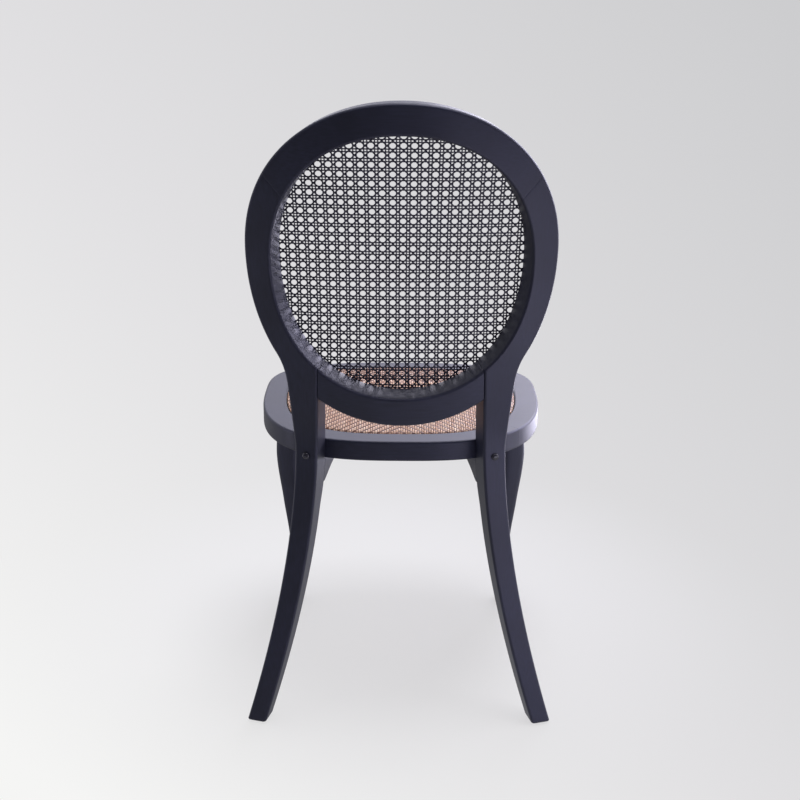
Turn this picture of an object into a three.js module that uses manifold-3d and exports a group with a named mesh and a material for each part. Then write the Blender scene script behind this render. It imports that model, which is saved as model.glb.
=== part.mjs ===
// Dining chair with an oval back frame, a woven cane back panel and a woven rattan seat.
// Millimetres, +Z up. The sitter faces -Y, so +X is the sitter's left, and z = 0 is the floor.

import * as THREE from 'three';
import { mergeVertices } from 'three/addons/utils/BufferGeometryUtils.js';
import Module from 'manifold-3d';

const wasm = await Module();
wasm.setup();

// Seat ring, measured from the place where it is widest
const seatTop = 453;
const seatHalfWidth = 232;
const seatRearReach = 274.3;
const seatFrontReach = 150.5;
const seatSquareness = 2.85;
const seatThickness = 31.5;
const seatTopRound = 5;
const seatLowerRound = 2.5;
const ringWidth = 38;
const ledgeWidth = 14;
const ledgeThickness = 12;
const ringSteps = 48;
const ringLeastSteps = 4;
const rearRingJointBeyondPost = 23;
const frontRingJointInsideLeg = 66;
const jointGap = 0.3;

// Drop-in seat: a plywood board, a thin pad and the woven rattan sheet over both
const boardThickness = 9;
const weaveThickness = 2.6;
const weaveStandProud = 1.6;
const seatFitGap = 1;
const seatCrown = 11;
const crownPower = 2.4;
const crownReachShare = 0.94;
const crownSteps = 5;
const seatOutlinePoints = 40;

// Oval back frame: heights rise from the seat, and sideways lengths run round the curved rear face
const backRadius = 500;
const backLean = THREE.MathUtils.degToRad(8);
const backBehindSeat = 37.3;
const leanBlend = 40;
const backRise = 513.4;
const crestWidth = 44.1;
const openingHeight = 384.7;
const backOverhang = 1.5;
const openingCentreRise = 201.4;
const openingSquareness = 2.12;
const frameSideWidth = 41.5;
const outerCentreRise = 17;
const outerDrop = 259;
const outerSquareness = 2.06;
const crestJointDrop = 99;
const crestJointInnerDrop = 90;
const waistRise = 62;
const neckRise = 6;
const neckFlare = 9;
const crestDepth = 26;
const postDepth = 44;
const depthFallPower = 1.6;
const arrisRound = 4;
const frontArrisRound = 5;
const crestTopRound = 9;

// Rear posts and legs
const postInnerShare = 0.661;
const postWidth = 36;
const footSplay = 84.5;
const footWidth = 31;
const splayPower = 1.7;
const footSweep = 46;
const sweepPower = 1.8;
const footDepth = 37;
const footRound = 2.5;
const legInnerRound = 7;
const legSteps = 11;
const neckSteps = 6;
const postOvalSteps = 12;
const cornerSteps = 2;

// Crest and lower back rail
const crestSteps = 18;
const railWidth = 44.3;
const railJointRise = 42;
const railArcRadius = 222;
const railSteps = 12;

// Cane panel in its rebate, with the spline that holds its edge
const rebateWidth = 9;
const rebateDepth = 5;
const caneThickness = 2.4;
const caneForward = 11;
const canePitch = 22;
const caneBar = 6.5;
const caneRim = 3;
const caneEdgePoints = 60;
const splineWidth = 5;
const splineThickness = 1.8;

// Front legs: shares of height, bow, sweep and top size along the leg's line, from foot to seat
const frontLegInset = 48;
const frontLegSetback = 100.5;
const frontTopSize = 46;
const frontLegBow = 21;
const frontLegSweep = 44;
const frontLegHeightShares = [0, 0.12, 0.3, 0.52, 0.74, 1];
const frontLegBowShares = [0.95, 0.46, 0.18, 0.48, 0.74, 0.1];
const frontLegSweepShares = [1, 0.72, 0.42, 0.32, 0.3, 0];
const frontLegSizeShares = [0.7, 0.62, 0.62, 0.78, 0.96, 1];
const frontLegTurn = THREE.MathUtils.degToRad(24);
const frontLegSquareness = 3.6;
const frontLegSteps = 16;
const frontLegPoints = 16;

// Gussets between the rear posts and the seat ring
const gussetLength = 74;
const gussetHeight = 40;
const gussetToe = 4;
const gussetTip = 6;
const gussetBellyShare = 0.6;
const gussetBellyRise = 1.5;
const gussetThickness = 24;
const gussetSeatRound = 1.2;

// Fixings
const clearance = 0.3;
const dowelRadius = 4;
const backDowelLength = 36;
const backDowelSpacing = 18;
const backDowelDepthShare = 0.42;
const tongueWidth = 20;
const tongueThickness = 6;
const tongueLength = 30;
const boltRadius = 3;
const boltHeadRadius = 6.2;
const boltHeadRise = 3.6;
const boltHeadRadiusShares = [0, 0.55, 0.9, 1];
const boltHeadRiseShares = [1, 0.9, 0.5, 0];
const boltLength = 66;
const boltBelowSeatTop = 15.5;
const nutRadius = 5;
const nutLength = 20;
const nutBackset = 10;
const screwRadius = 1.9;
const screwHeadRadius = 3.8;
const screwHeadRise = 2.2;
const screwDomeRadiusShare = 0.7;
const screwDomeRiseShare = 0.5;
const boardScrewLength = 17;
const boardScrewTurnShares = [0.125, 0.375, 0.625, 0.875];
const gussetScrewLength = 22;
const gussetScrewReach = 24;
const gussetScrewSpacing = 14;
const gussetScrewShelf = 12;
const legScrewRadius = 3.5;
const legScrewLength = 44;
const legDowelLength = 30;
const legFixingShift = 10;
const legFixingSpacing = 16;
const glideRadius = 10;
const glideHeight = 3;
const glideRound = 1;
const glidePinRadius = 1.5;
const glidePinLength = 14;
const overrun = 3;
const roundSides = 12;
const smallSides = 8;

// Heights and widths that follow from the sizes above
const seatBottom = seatTop - seatThickness;
const ledgeTop = seatBottom + ledgeThickness;
const gussetBottom = seatBottom - gussetHeight;
const ovalTop = seatTop + backRise;
const openingTop = ovalTop - crestWidth;
const openingBottom = openingTop - openingHeight;
const openingCentre = openingBottom + openingCentreRise;
const outerCentre = openingCentre + outerCentreRise;
const outerHalfWidth = seatHalfWidth + backOverhang;
const openingHalfWidth = outerHalfWidth - frameSideWidth;
const crestJointOuter = ovalTop - crestJointDrop;
const crestJointInner = openingTop - crestJointInnerDrop;
const waistHeight = openingBottom + waistRise;
const neckHeight = openingBottom + neckRise;
const railJointTop = openingBottom + railJointRise;
const railBottom = openingBottom - railWidth;
const postInner = openingHalfWidth * postInnerShare;
const postOuter = postInner + postWidth;
const postMiddle = postInner + postWidth / 2;
const footNarrowing = (postWidth - footWidth) / 2;
const rearRingJointX = postOuter + rearRingJointBeyondPost;
const frontLegX = seatHalfWidth - frontLegInset;
const frontLegY = frontLegSetback - seatFrontReach;
const frontRingJointX = frontLegX - frontRingJointInsideLeg;

const lacquer = new THREE.MeshStandardMaterial({ color: '#262730', roughness: 0.38, metalness: 0 });
const blackCane = new THREE.MeshStandardMaterial({ color: '#29272d', roughness: 0.55, metalness: 0 });
const rattan = new THREE.MeshStandardMaterial({ color: '#c59b75', roughness: 0.6, metalness: 0 });
const plywood = new THREE.MeshStandardMaterial({ color: '#b7976a', roughness: 0.7, metalness: 0 });
const foam = new THREE.MeshStandardMaterial({ color: '#d9d2bf', roughness: 0.95, metalness: 0 });
const beech = new THREE.MeshStandardMaterial({ color: '#c9a276', roughness: 0.65, metalness: 0 });
const steel = new THREE.MeshStandardMaterial({ color: '#8c8f94', roughness: 0.35, metalness: 1 });
const blackSteel = new THREE.MeshStandardMaterial({ color: '#1d1d22', roughness: 0.3, metalness: 1 });
const nylon = new THREE.MeshStandardMaterial({ color: '#1b1b1e', roughness: 0.5, metalness: 0 });

const chair = new THREE.Group();
const floorFrame = new THREE.Group();
floorFrame.add(chair);

const point = (x, y, z) => new THREE.Vector3(x, y, z);
const mix = (a, b, share) => a + (b - a) * share;
const clampShare = (share) => Math.min(Math.max(share, 0), 1);

// A share that eases in and out between 0 and 1
function eased(share) {
  const q = clampShare(share);
  return q * q * (3 - 2 * q);
}

// Triangles over a flat ring of points, wound with the ring or against it
function capFaces(ring, first, withRing) {
  const centre = ring.reduce((sum, p) => sum.add(p), point(0, 0, 0)).divideScalar(ring.length);
  const normal = point(0, 0, 0);
  ring.forEach((p, i) => {
    const next = ring[(i + 1) % ring.length];
    normal.add(p.clone().sub(centre).cross(next.clone().sub(centre)));
  });
  normal.normalize();
  const across = ring[0].clone().sub(centre).projectOnPlane(normal).normalize();
  const upward = normal.clone().cross(across);
  const flat = ring.map((p) => {
    const offset = p.clone().sub(centre);
    return new THREE.Vector2(offset.dot(across), offset.dot(upward));
  });
  const faces = [];
  for (const [a, b, c] of THREE.ShapeUtils.triangulateShape(flat, [])) {
    const turn = flat[b].clone().sub(flat[a]).cross(flat[c].clone().sub(flat[a]));
    const keep = (turn > 0) === withRing;
    faces.push(first + a, first + (keep ? b : c), first + (keep ? c : b));
  }
  return faces;
}

// A geometry from points and faces, turned the right way out
function geometryFrom(points, faces) {
  let volume = 0;
  for (let i = 0; i < faces.length; i += 3) {
    const [a, b, c] = [points[faces[i]], points[faces[i + 1]], points[faces[i + 2]]];
    volume += a.dot(b.clone().cross(c));
  }
  const index = [...faces];
  if (volume < 0) {
    for (let i = 0; i < index.length; i += 3) {
      [index[i + 1], index[i + 2]] = [index[i + 2], index[i + 1]];
    }
  }
  const geometry = new THREE.BufferGeometry();
  const flat = points.flatMap((p) => [p.x, p.y, p.z]);
  geometry.setAttribute('position', new THREE.Float32BufferAttribute(flat, 3));
  geometry.setIndex(index);
  geometry.computeVertexNormals();
  return geometry;
}

// A closed skin over a row of matching rings; a looped row joins its last ring to its first
function loft(rings, looped = false) {
  const count = rings[0].length;
  const faces = [];
  const spans = looped ? rings.length : rings.length - 1;
  for (let i = 0; i < spans; i += 1) {
    const next = (i + 1) % rings.length;
    for (let j = 0; j < count; j += 1) {
      const k = (j + 1) % count;
      const [a, b, c, d] = [i * count + j, i * count + k, next * count + k, next * count + j];
      faces.push(a, b, c, a, c, d);
    }
  }
  if (!looped) {
    faces.push(...capFaces(rings[0], 0, false));
    faces.push(...capFaces(rings.at(-1), (rings.length - 1) * count, true));
  }
  return geometryFrom(rings.flat(), faces);
}

// Booleans on closed geometries
function solidOf(geometry) {
  const bare = geometry.clone();
  bare.deleteAttribute('normal');
  bare.deleteAttribute('uv');
  const merged = mergeVertices(bare);
  return new wasm.Manifold(new wasm.Mesh({
    numProp: 3,
    vertProperties: new Float32Array(merged.attributes.position.array),
    triVerts: new Uint32Array(merged.index.array),
  }));
}

function cut(geometry, tools) {
  let solid = solidOf(geometry);
  for (const tool of tools) solid = solid.subtract(solidOf(tool));
  const mesh = solid.getMesh();
  const result = new THREE.BufferGeometry();
  result.setAttribute('position', new THREE.Float32BufferAttribute(mesh.vertProperties, 3));
  result.setIndex([...mesh.triVerts]);
  result.computeVertexNormals();
  return result;
}

function addPiece(name, geometry, material) {
  const mesh = new THREE.Mesh(geometry, material);
  mesh.name = name;
  chair.add(mesh);
  return mesh;
}

const up = point(0, 0, 1);

// A rod, laid from one point along a direction
function rod(start, direction, radius, length, sides = roundSides) {
  const geometry = new THREE.CylinderGeometry(radius, radius, length, sides);
  geometry.translate(0, length / 2, 0);
  geometry.applyQuaternion(new THREE.Quaternion().setFromUnitVectors(point(0, 1, 0), direction));
  geometry.translate(start.x, start.y, start.z);
  return geometry;
}

// A turned fixing whose head sits at its start and whose shank runs along a direction
function turned(start, direction, profile, sides = roundSides) {
  const geometry = new THREE.LatheGeometry(profile.map(([r, y]) => new THREE.Vector2(r, y)), sides);
  geometry.applyQuaternion(new THREE.Quaternion().setFromUnitVectors(point(0, 1, 0), direction));
  geometry.translate(start.x, start.y, start.z);
  return cut(geometry, []);
}

// Seat outline: a rounded square whose reach differs at the sides, rear and front
function seatPoint(angle, margins, z) {
  const c = Math.cos(angle);
  const s = Math.sin(angle);
  const power = 2 / seatSquareness;
  const reach = s > 0 ? seatRearReach - margins.rear : seatFrontReach - margins.front;
  const x = (seatHalfWidth - margins.side) * Math.sign(c) * Math.abs(c) ** power;
  return point(x, reach * Math.sign(s) * Math.abs(s) ** power, z);
}

const evenMargin = (size) => ({ side: size, rear: size, front: size });

// The angle at which the ring's outer edge has a given x, on the rear half
const angleAtX = (x) => Math.acos((x / seatHalfWidth) ** (seatSquareness / 2));

function ringSection(angle) {
  const corner = 1 - Math.SQRT1_2;
  const at = (margin, z) => seatPoint(angle, evenMargin(margin), z);
  return [
    at(0, seatTop - seatTopRound),
    at(seatTopRound * corner, seatTop - seatTopRound * corner),
    at(seatTopRound, seatTop),
    at(ringWidth, seatTop),
    at(ringWidth, ledgeTop),
    at(ringWidth + ledgeWidth, ledgeTop),
    at(ringWidth + ledgeWidth, seatBottom),
    at(seatLowerRound, seatBottom),
    at(0, seatBottom + seatLowerRound),
  ];
}

function ringRail(from, to) {
  const gap = jointGap / 2 / seatHalfWidth;
  const steps = Math.max(ringLeastSteps, Math.round((ringSteps * (to - from)) / (2 * Math.PI)));
  const rings = [];
  for (let i = 0; i <= steps; i += 1) rings.push(ringSection(mix(from + gap, to - gap, i / steps)));
  return loft(rings);
}

const rearJointAngle = angleAtX(rearRingJointX);
const frontJointAngle = -angleAtX(frontRingJointX);
const ringJointAngles = [
  rearJointAngle,
  Math.PI - rearJointAngle,
  Math.PI - frontJointAngle,
  frontJointAngle,
];

// Back frame: a place on it is a length sideways, a height and a depth forward from the rear face.
// The upper and lower halves of its oval are superellipses.
function superShare(share, squareness) {
  return (1 - Math.min(Math.abs(share), 1) ** squareness) ** (1 / squareness);
}

const dropShare = (height) => clampShare((seatTop - height) / seatTop);

// The rear face's line in side view: it leans back above the seat and sweeps back below it
function rearLine(height) {
  const rise = height - seatTop;
  const start = seatRearReach + backBehindSeat + (Math.tan(backLean) * leanBlend) / 2;
  if (rise <= 0) return start + footSweep * dropShare(height) ** sweepPower;
  if (rise < leanBlend) return start + (Math.tan(backLean) * rise * rise) / (2 * leanBlend);
  return start + Math.tan(backLean) * (rise - leanBlend / 2);
}

function frameDepth(height) {
  if (height <= seatTop) return mix(postDepth, footDepth, dropShare(height));
  return mix(postDepth, crestDepth, clampShare((height - seatTop) / backRise) ** depthFallPower);
}

function framePoint(sideways, height, depth) {
  const tilt = backLean * eased((height - seatTop) / leanBlend);
  const angle = sideways / backRadius;
  const radius = backRadius - depth * Math.cos(tilt);
  const y = rearLine(height) - backRadius + radius * Math.cos(angle);
  return point(radius * Math.sin(angle), y, height + depth * Math.sin(tilt));
}

// Below the seat the post keeps the turn that it has at the seat and moves outwards bodily
function postPoint(sideways, height, depth) {
  const splay = footSplay * dropShare(height) ** splayPower;
  const place = framePoint(sideways - splay, height, depth);
  return place.setX(place.x + splay);
}

// Edges of the oval on the rear face, as sideways lengths at a height
function outerEdge(height) {
  const share = height > outerCentre
    ? (height - outerCentre) / (ovalTop - outerCentre)
    : (outerCentre - height) / outerDrop;
  return outerHalfWidth * superShare(share, outerSquareness);
}

function innerEdge(height) {
  const share = height > openingCentre
    ? (height - openingCentre) / (openingTop - openingCentre)
    : (openingCentre - height) / openingCentreRise;
  return openingHalfWidth * superShare(share, openingSquareness);
}

// The post's outer edge leaves the oval at the waist and runs into a straight neck above the seat
function postOuterEdge(height) {
  const drop = dropShare(height);
  if (height <= seatTop) return postOuter + footSplay * drop ** splayPower - footNarrowing * drop;
  if (height >= waistHeight) return outerEdge(height);
  const neckSlope = neckFlare / (neckHeight - seatTop);
  if (height <= neckHeight) return postOuter + neckSlope * (height - seatTop);
  const span = waistHeight - neckHeight;
  const q = (height - neckHeight) / span;
  const waistSlope = (outerEdge(waistHeight + overrun) - outerEdge(waistHeight)) / overrun;
  const fromNeck = (postOuter + neckFlare) * (2 * q ** 3 - 3 * q ** 2 + 1);
  const toWaist = outerEdge(waistHeight) * (3 * q ** 2 - 2 * q ** 3);
  const slopes = neckSlope * (q ** 3 - 2 * q ** 2 + q) + waistSlope * (q ** 3 - q ** 2);
  return fromNeck + toWaist + span * slopes;
}

function postInnerEdge(height) {
  const drop = dropShare(height);
  if (height <= seatTop) return postInner + footSplay * drop ** splayPower + footNarrowing * drop;
  return mix(postInner, innerEdge(railJointTop), (height - seatTop) / (railJointTop - seatTop));
}

// A bar's section between two edge places, with a round at each of its four corners
function barSection(inner, outer, rounds, place, margin = 0) {
  const across = Math.hypot(outer[0] - inner[0], outer[1] - inner[1]);
  const corners = [
    { w: margin, share: 0, round: rounds.rear, outward: [-1, -1] },
    { w: across - margin, share: 0, round: rounds.rear, outward: [1, -1] },
    { w: across - margin, share: 1, round: rounds.outerFront, outward: [1, 1] },
    { w: margin, share: 1, round: rounds.innerFront, outward: [-1, 1] },
  ];
  const ring = [];
  corners.forEach((corner, index) => {
    for (let i = 0; i <= cornerSteps; i += 1) {
      const turn = (Math.PI / 2) * (index + i / cornerSteps);
      const w = corner.w - corner.round * corner.outward[0] - corner.round * Math.cos(turn);
      const inward = -corner.round * corner.outward[1] - corner.round * Math.sin(turn);
      const q = w / across;
      const height = mix(inner[1], outer[1], q);
      const depth = mix(margin, frameDepth(height) - margin, corner.share) + inward;
      ring.push(place(mix(inner[0], outer[0], q), height, depth));
    }
  });
  return ring;
}

const plainRounds = { rear: arrisRound, outerFront: frontArrisRound, innerFront: arrisRound };

function crestRounds(height) {
  const share = (height - crestJointOuter) / crestJointDrop;
  return { ...plainRounds, outerFront: mix(frontArrisRound, crestTopRound, eased(share)) };
}

// The post's inner front edge is sharp where the gusset stands against it and well rounded below
function postRounds(height) {
  const besideGusset = mix(arrisRound, gussetSeatRound, eased((seatTop - height) / seatThickness));
  const belowGusset = eased((gussetBottom - height) / gussetHeight);
  return { ...plainRounds, innerFront: mix(besideGusset, legInnerRound, belowGusset) };
}

// The rungs of a post from its foot up to the crest joint, each with an inner and an outer place
function postRungs() {
  const levels = [{ height: glideHeight, margin: footRound }];
  for (let i = 0; i <= legSteps; i += 1) {
    levels.push({ height: mix(glideHeight + footRound, seatBottom, i / legSteps), margin: 0 });
  }
  for (let i = 1; i <= neckSteps; i += 1) {
    levels.push({ height: mix(seatBottom, railJointTop, i / neckSteps), margin: 0 });
  }
  const rungs = levels.map(({ height, margin }) => ({
    inner: [postInnerEdge(height), height],
    outer: [postOuterEdge(height), height],
    margin,
  }));
  for (let i = 1; i <= postOvalSteps; i += 1) {
    const innerHeight = mix(railJointTop, crestJointInner, i / postOvalSteps);
    const outerHeight = mix(railJointTop, crestJointOuter, i / postOvalSteps);
    rungs.push({
      inner: [innerEdge(innerHeight), innerHeight],
      outer: [postOuterEdge(outerHeight), outerHeight],
      margin: 0,
    });
  }
  return rungs;
}

const mirrored = (spot, side) => point(side * spot.x, spot.y, spot.z);

function postSection(rung, side) {
  const place = (sideways, height, depth) => mirrored(postPoint(sideways, height, depth), side);
  return barSection(rung.inner, rung.outer, postRounds(rung.inner[1]), place, rung.margin);
}

// Crest rungs run over the top from the left joint, at share 0, to the right one, at share 1
function crestRung(share) {
  const turnOf = (edge, reach) => Math.asin(clampShare(edge / reach)) * mix(1, -1, share);
  const outerShare = Math.sin(turnOf(outerEdge(crestJointOuter), outerHalfWidth));
  const innerShare = Math.sin(turnOf(innerEdge(crestJointInner), openingHalfWidth));
  const outerRise = (ovalTop - outerCentre) * superShare(outerShare, outerSquareness);
  const innerRise = (openingTop - openingCentre) * superShare(innerShare, openingSquareness);
  return {
    inner: [openingHalfWidth * innerShare, openingCentre + innerRise],
    outer: [outerHalfWidth * outerShare, outerCentre + outerRise],
  };
}

// The lower rail hangs between the posts: its top follows the opening, its bottom an arc
function railRung(share) {
  const q = mix(1, -1, share);
  const arcHeight = (reach) => railBottom + railArcRadius - Math.sqrt(railArcRadius ** 2 - reach ** 2);
  const upper = q * (innerEdge(railJointTop) - jointGap);
  const lower = q * (postInnerEdge(arcHeight(postInner)) - jointGap);
  const upperDrop = openingCentreRise * superShare(upper / openingHalfWidth, openingSquareness);
  return { inner: [upper, openingCentre - upperDrop], outer: [lower, arcHeight(lower)] };
}

// A closed band round the opening, from one margin to another and between two depths behind the front
function openingBand(from, to, behindLow, behindHigh, count) {
  const rings = [];
  for (let i = 0; i < count; i += 1) {
    const angle = (2 * Math.PI * i) / count;
    const inner = openingPlace(angle, from);
    const outer = openingPlace(angle, to);
    rings.push([
      framePoint(inner[0], inner[1], frameDepth(inner[1]) - behindLow),
      framePoint(outer[0], outer[1], frameDepth(outer[1]) - behindLow),
      framePoint(outer[0], outer[1], frameDepth(outer[1]) - behindHigh),
      framePoint(inner[0], inner[1], frameDepth(inner[1]) - behindHigh),
    ]);
  }
  return loft(rings, true);
}

// A place on the opening's edge moved outwards by a margin
function openingPlace(angle, margin) {
  const power = 2 / openingSquareness;
  const c = Math.cos(angle);
  const s = Math.sin(angle);
  const reach = (s > 0 ? openingTop - openingCentre : openingCentreRise) + margin;
  const sideways = (openingHalfWidth + margin) * Math.sign(c) * Math.abs(c) ** power;
  return [sideways, openingCentre + reach * Math.sign(s) * Math.abs(s) ** power];
}

const rebateTool = openingBand(-overrun, rebateWidth, rebateDepth, -overrun, caneEdgePoints);

// Where a joint's dowel sits, and the direction along the bar there
function jointAxis(rungOf, share, acrossOffset) {
  const spots = [share, mix(share, 0.5, jointGap / crestWidth)].map((at) => {
    const { inner, outer } = rungOf(at);
    const across = Math.hypot(outer[0] - inner[0], outer[1] - inner[1]);
    const q = (across / 2 + acrossOffset) / across;
    const height = mix(inner[1], outer[1], q);
    return framePoint(mix(inner[0], outer[0], q), height, frameDepth(height) * backDowelDepthShare);
  });
  return { at: spots[0], along: spots[1].clone().sub(spots[0]).normalize() };
}

// Dowels and their holes at the crest joint and the rail joint of one side
function backDowels(side) {
  const end = side > 0 ? 0 : 1;
  return [['crest', crestRung], ['rail', railRung]].flatMap(([label, rungOf]) => (
    [['inner', -1], ['outer', 1]].map(([place, sign]) => {
      const { at, along } = jointAxis(rungOf, end, (sign * backDowelSpacing) / 2);
      const start = at.clone().addScaledVector(along, -backDowelLength / 2);
      const holeStart = start.clone().addScaledVector(along, -clearance);
      return {
        label,
        place,
        dowel: rod(start, along, dowelRadius, backDowelLength),
        hole: rod(holeStart, along, dowelRadius + clearance, backDowelLength + 2 * clearance),
      };
    })
  ));
}

// Bolt through the post into a barrel nut in the seat ring
function boltLine() {
  const height = seatTop - boltBelowSeatTop;
  const head = postPoint(postMiddle, height, 0);
  const inside = postPoint(postMiddle, height, postDepth);
  return { head, along: inside.sub(head).normalize() };
}

function boltTools(side) {
  const line = boltLine();
  const head = mirrored(line.head, side);
  const along = mirrored(line.along, side);
  const nutPlace = head.clone().addScaledVector(along, boltLength - nutBackset);
  const shankHole = rod(head.clone().addScaledVector(along, -overrun), along, boltRadius + clearance,
    boltLength + overrun + clearance);
  const nutHole = rod(nutPlace.clone().setZ(seatBottom - overrun), up, nutRadius + clearance,
    nutLength + overrun + 2 * clearance);
  return { head, along, nutBase: nutPlace.setZ(seatBottom + clearance), shankHole, nutHole };
}

function boltProfile() {
  const dome = boltHeadRadiusShares.map((share, i) => (
    [boltHeadRadius * share, -clearance - boltHeadRise * boltHeadRiseShares[i]]));
  return [...dome, [boltRadius, -clearance], [boltRadius, boltLength], [0, boltLength]];
}

// The notch in the ring that each post stands in
function notchTool(side) {
  const slack = 2 * clearance;
  const places = [
    [postInner - slack, -overrun],
    [postOuter + slack + overrun / 2, -overrun],
    [postOuter + slack + overrun / 2, postDepth + clearance],
    [postInner - slack, postDepth + clearance],
  ];
  return loft([seatBottom - overrun, seatTop + overrun].map((level) => (
    places.map(([sideways, depth]) => mirrored(framePoint(sideways, seatTop, depth), side).setZ(level)))));
}

// Gusset under the ring, running forward from the post's front face and flush with its inner face
function gussetPlace(side, reach, offset, z) {
  const { along } = boltLine();
  const across = point(-along.y, along.x, 0);
  const spot = postPoint(postInnerEdge(z), z, frameDepth(z) + clearance);
  spot.addScaledVector(along, reach).addScaledVector(across, offset);
  return mirrored(spot, side).setZ(z);
}

function gussetGeometry(side) {
  const top = seatBottom - clearance;
  const bellyHeight = mix(gussetHeight, gussetTip, gussetBellyShare) - gussetBellyRise;
  const outline = [
    [0, top],
    [0, top - gussetHeight],
    [gussetToe, top - gussetHeight],
    [gussetLength * gussetBellyShare, top - bellyHeight],
    [gussetLength, top - gussetTip],
    [gussetLength, top],
  ];
  return loft([0, gussetThickness].map((offset) => (
    outline.map(([reach, z]) => gussetPlace(side, reach, offset, z)))));
}

function screwProfile(length) {
  return [
    [0, 0],
    [screwHeadRadius * screwDomeRadiusShare, 0],
    [screwHeadRadius, screwHeadRise * screwDomeRiseShare],
    [screwHeadRadius, screwHeadRise],
    [screwRadius, screwHeadRise],
    [screwRadius, screwHeadRise + length - screwRadius],
    [0, screwHeadRise + length],
  ];
}

// A screw driven upwards, with its head's seat at a place, and the hole that it runs in
function upwardScrew(seat, length) {
  return {
    screw: turned(seat.clone().addScaledVector(up, -screwHeadRise), up, screwProfile(length), smallSides),
    hole: rod(seat.clone().addScaledVector(up, -clearance), up, screwRadius + clearance,
      length + 2 * clearance, smallSides),
  };
}

function gussetScrews(side) {
  return [0, 1].map((index) => {
    const reach = gussetScrewReach + gussetScrewSpacing * index;
    const seat = gussetPlace(side, reach, gussetThickness / 2, seatBottom - clearance - gussetScrewShelf);
    const pocket = rod(seat.clone().addScaledVector(up, -gussetHeight), up, screwHeadRadius + clearance,
      gussetHeight + clearance, smallSides);
    return { ...upwardScrew(seat, gussetScrewLength), pocket };
  });
}

// Screws up through the ledge into the seat board
function boardScrews() {
  const margins = evenMargin(ringWidth + ledgeWidth / 2);
  return boardScrewTurnShares.map((share) => (
    upwardScrew(seatPoint(2 * Math.PI * share, margins, seatBottom - clearance), boardScrewLength)));
}

// Ring joint tongues, lying along the ring at its middle
function ringTongue(angle, extra) {
  const margins = evenMargin(ringWidth / 2);
  const at = seatPoint(angle, margins, (seatTop + seatBottom) / 2);
  const ahead = seatPoint(angle + overrun / seatHalfWidth, margins, at.z);
  const geometry = new THREE.BoxGeometry(tongueLength + 2 * extra, tongueWidth + 2 * extra,
    tongueThickness + 2 * extra);
  geometry.rotateZ(Math.atan2(ahead.y - at.y, ahead.x - at.x));
  geometry.translate(at.x, at.y, at.z);
  return geometry;
}

// Front legs: a rounded square section along a bowed line, which the share tables give
const frontLegTop = seatBottom - clearance;
const frontLegLine = new THREE.CatmullRomCurve3(frontLegHeightShares.map((share, i) => point(
  frontLegX + frontLegBow * frontLegBowShares[i],
  frontLegY - frontLegSweep * frontLegSweepShares[i],
  mix(glideHeight, frontLegTop, share),
)));
const frontLegSizes = new THREE.CatmullRomCurve3(
  frontLegSizeShares.map((share) => point(frontTopSize * share, 0, 0)),
);

function frontLegSection(side, share) {
  const centre = frontLegLine.getPoint(share);
  const half = frontLegSizes.getPoint(share).x / 2;
  const power = 2 / frontLegSquareness;
  const ring = [];
  for (let i = 0; i < frontLegPoints; i += 1) {
    const angle = (2 * Math.PI * (i + 0.5)) / frontLegPoints;
    const spot = point(
      half * Math.sign(Math.cos(angle)) * Math.abs(Math.cos(angle)) ** power,
      half * Math.sign(Math.sin(angle)) * Math.abs(Math.sin(angle)) ** power,
      0,
    );
    ring.push(mirrored(spot.applyAxisAngle(up, -frontLegTurn).add(centre), side));
  }
  return ring;
}

function glide(at) {
  const top = glideHeight - clearance;
  const profile = [
    [0, 0], [glideRadius - glideRound, 0], [glideRadius, glideRound], [glideRadius, top],
    [glidePinRadius, top], [glidePinRadius, glideHeight + glidePinLength - glidePinRadius],
    [0, glideHeight + glidePinLength],
  ];
  return turned(at, up, profile);
}

const glideHole = (at) => rod(at, up, glidePinRadius + clearance, glideHeight + glidePinLength + clearance,
  smallSides);

// Places that the glides stand at
function rearFoot(side) {
  const middle = postMiddle + footSplay * dropShare(glideHeight) ** splayPower;
  return mirrored(postPoint(middle, glideHeight, footDepth / 2), side).setZ(0);
}

const frontFoot = (side) => mirrored(frontLegLine.getPoint(0), side).setZ(0);

const sides = [['left', 1], ['right', -1]];
const ringCuts = { rear: [], left: [], right: [], front: [] };
const boardCuts = [];

// Rear posts, with their joints, bolts, gussets and glides
const crestCuts = [rebateTool];
const railCuts = [rebateTool];
for (const [name, side] of sides) {
  const dowels = backDowels(side);
  const bolt = boltTools(side);
  const foot = rearFoot(side);
  const skin = loft(postRungs().map((rung) => postSection(rung, side)));
  const post = cut(skin, [rebateTool, bolt.shankHole, glideHole(foot), ...dowels.map(({ hole }) => hole)]);
  addPiece(`rear_leg_${name}`, post, lacquer);
  for (const { label, place, dowel, hole } of dowels) {
    addPiece(`${label}_dowel_${name}_${place}`, dowel, beech);
    (label === 'crest' ? crestCuts : railCuts).push(hole);
  }
  addPiece(`rear_bolt_${name}`, turned(bolt.head, bolt.along, boltProfile()), blackSteel);
  const nut = rod(bolt.nutBase, up, nutRadius, nutLength);
  addPiece(`barrel_nut_${name}`, cut(nut, [bolt.shankHole]), steel);
  ringCuts.rear.push(notchTool(side), bolt.shankHole, bolt.nutHole);

  const screws = gussetScrews(side);
  const gussetTools = screws.flatMap(({ hole, pocket }) => [hole, pocket]);
  addPiece(`rear_gusset_${name}`, cut(gussetGeometry(side), gussetTools), lacquer);
  screws.forEach(({ screw, hole }, index) => {
    addPiece(`gusset_screw_${name}_${index + 1}`, screw, steel);
    ringCuts.rear.push(hole);
  });
  addPiece(`rear_glide_${name}`, glide(foot), nylon);
}

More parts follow.
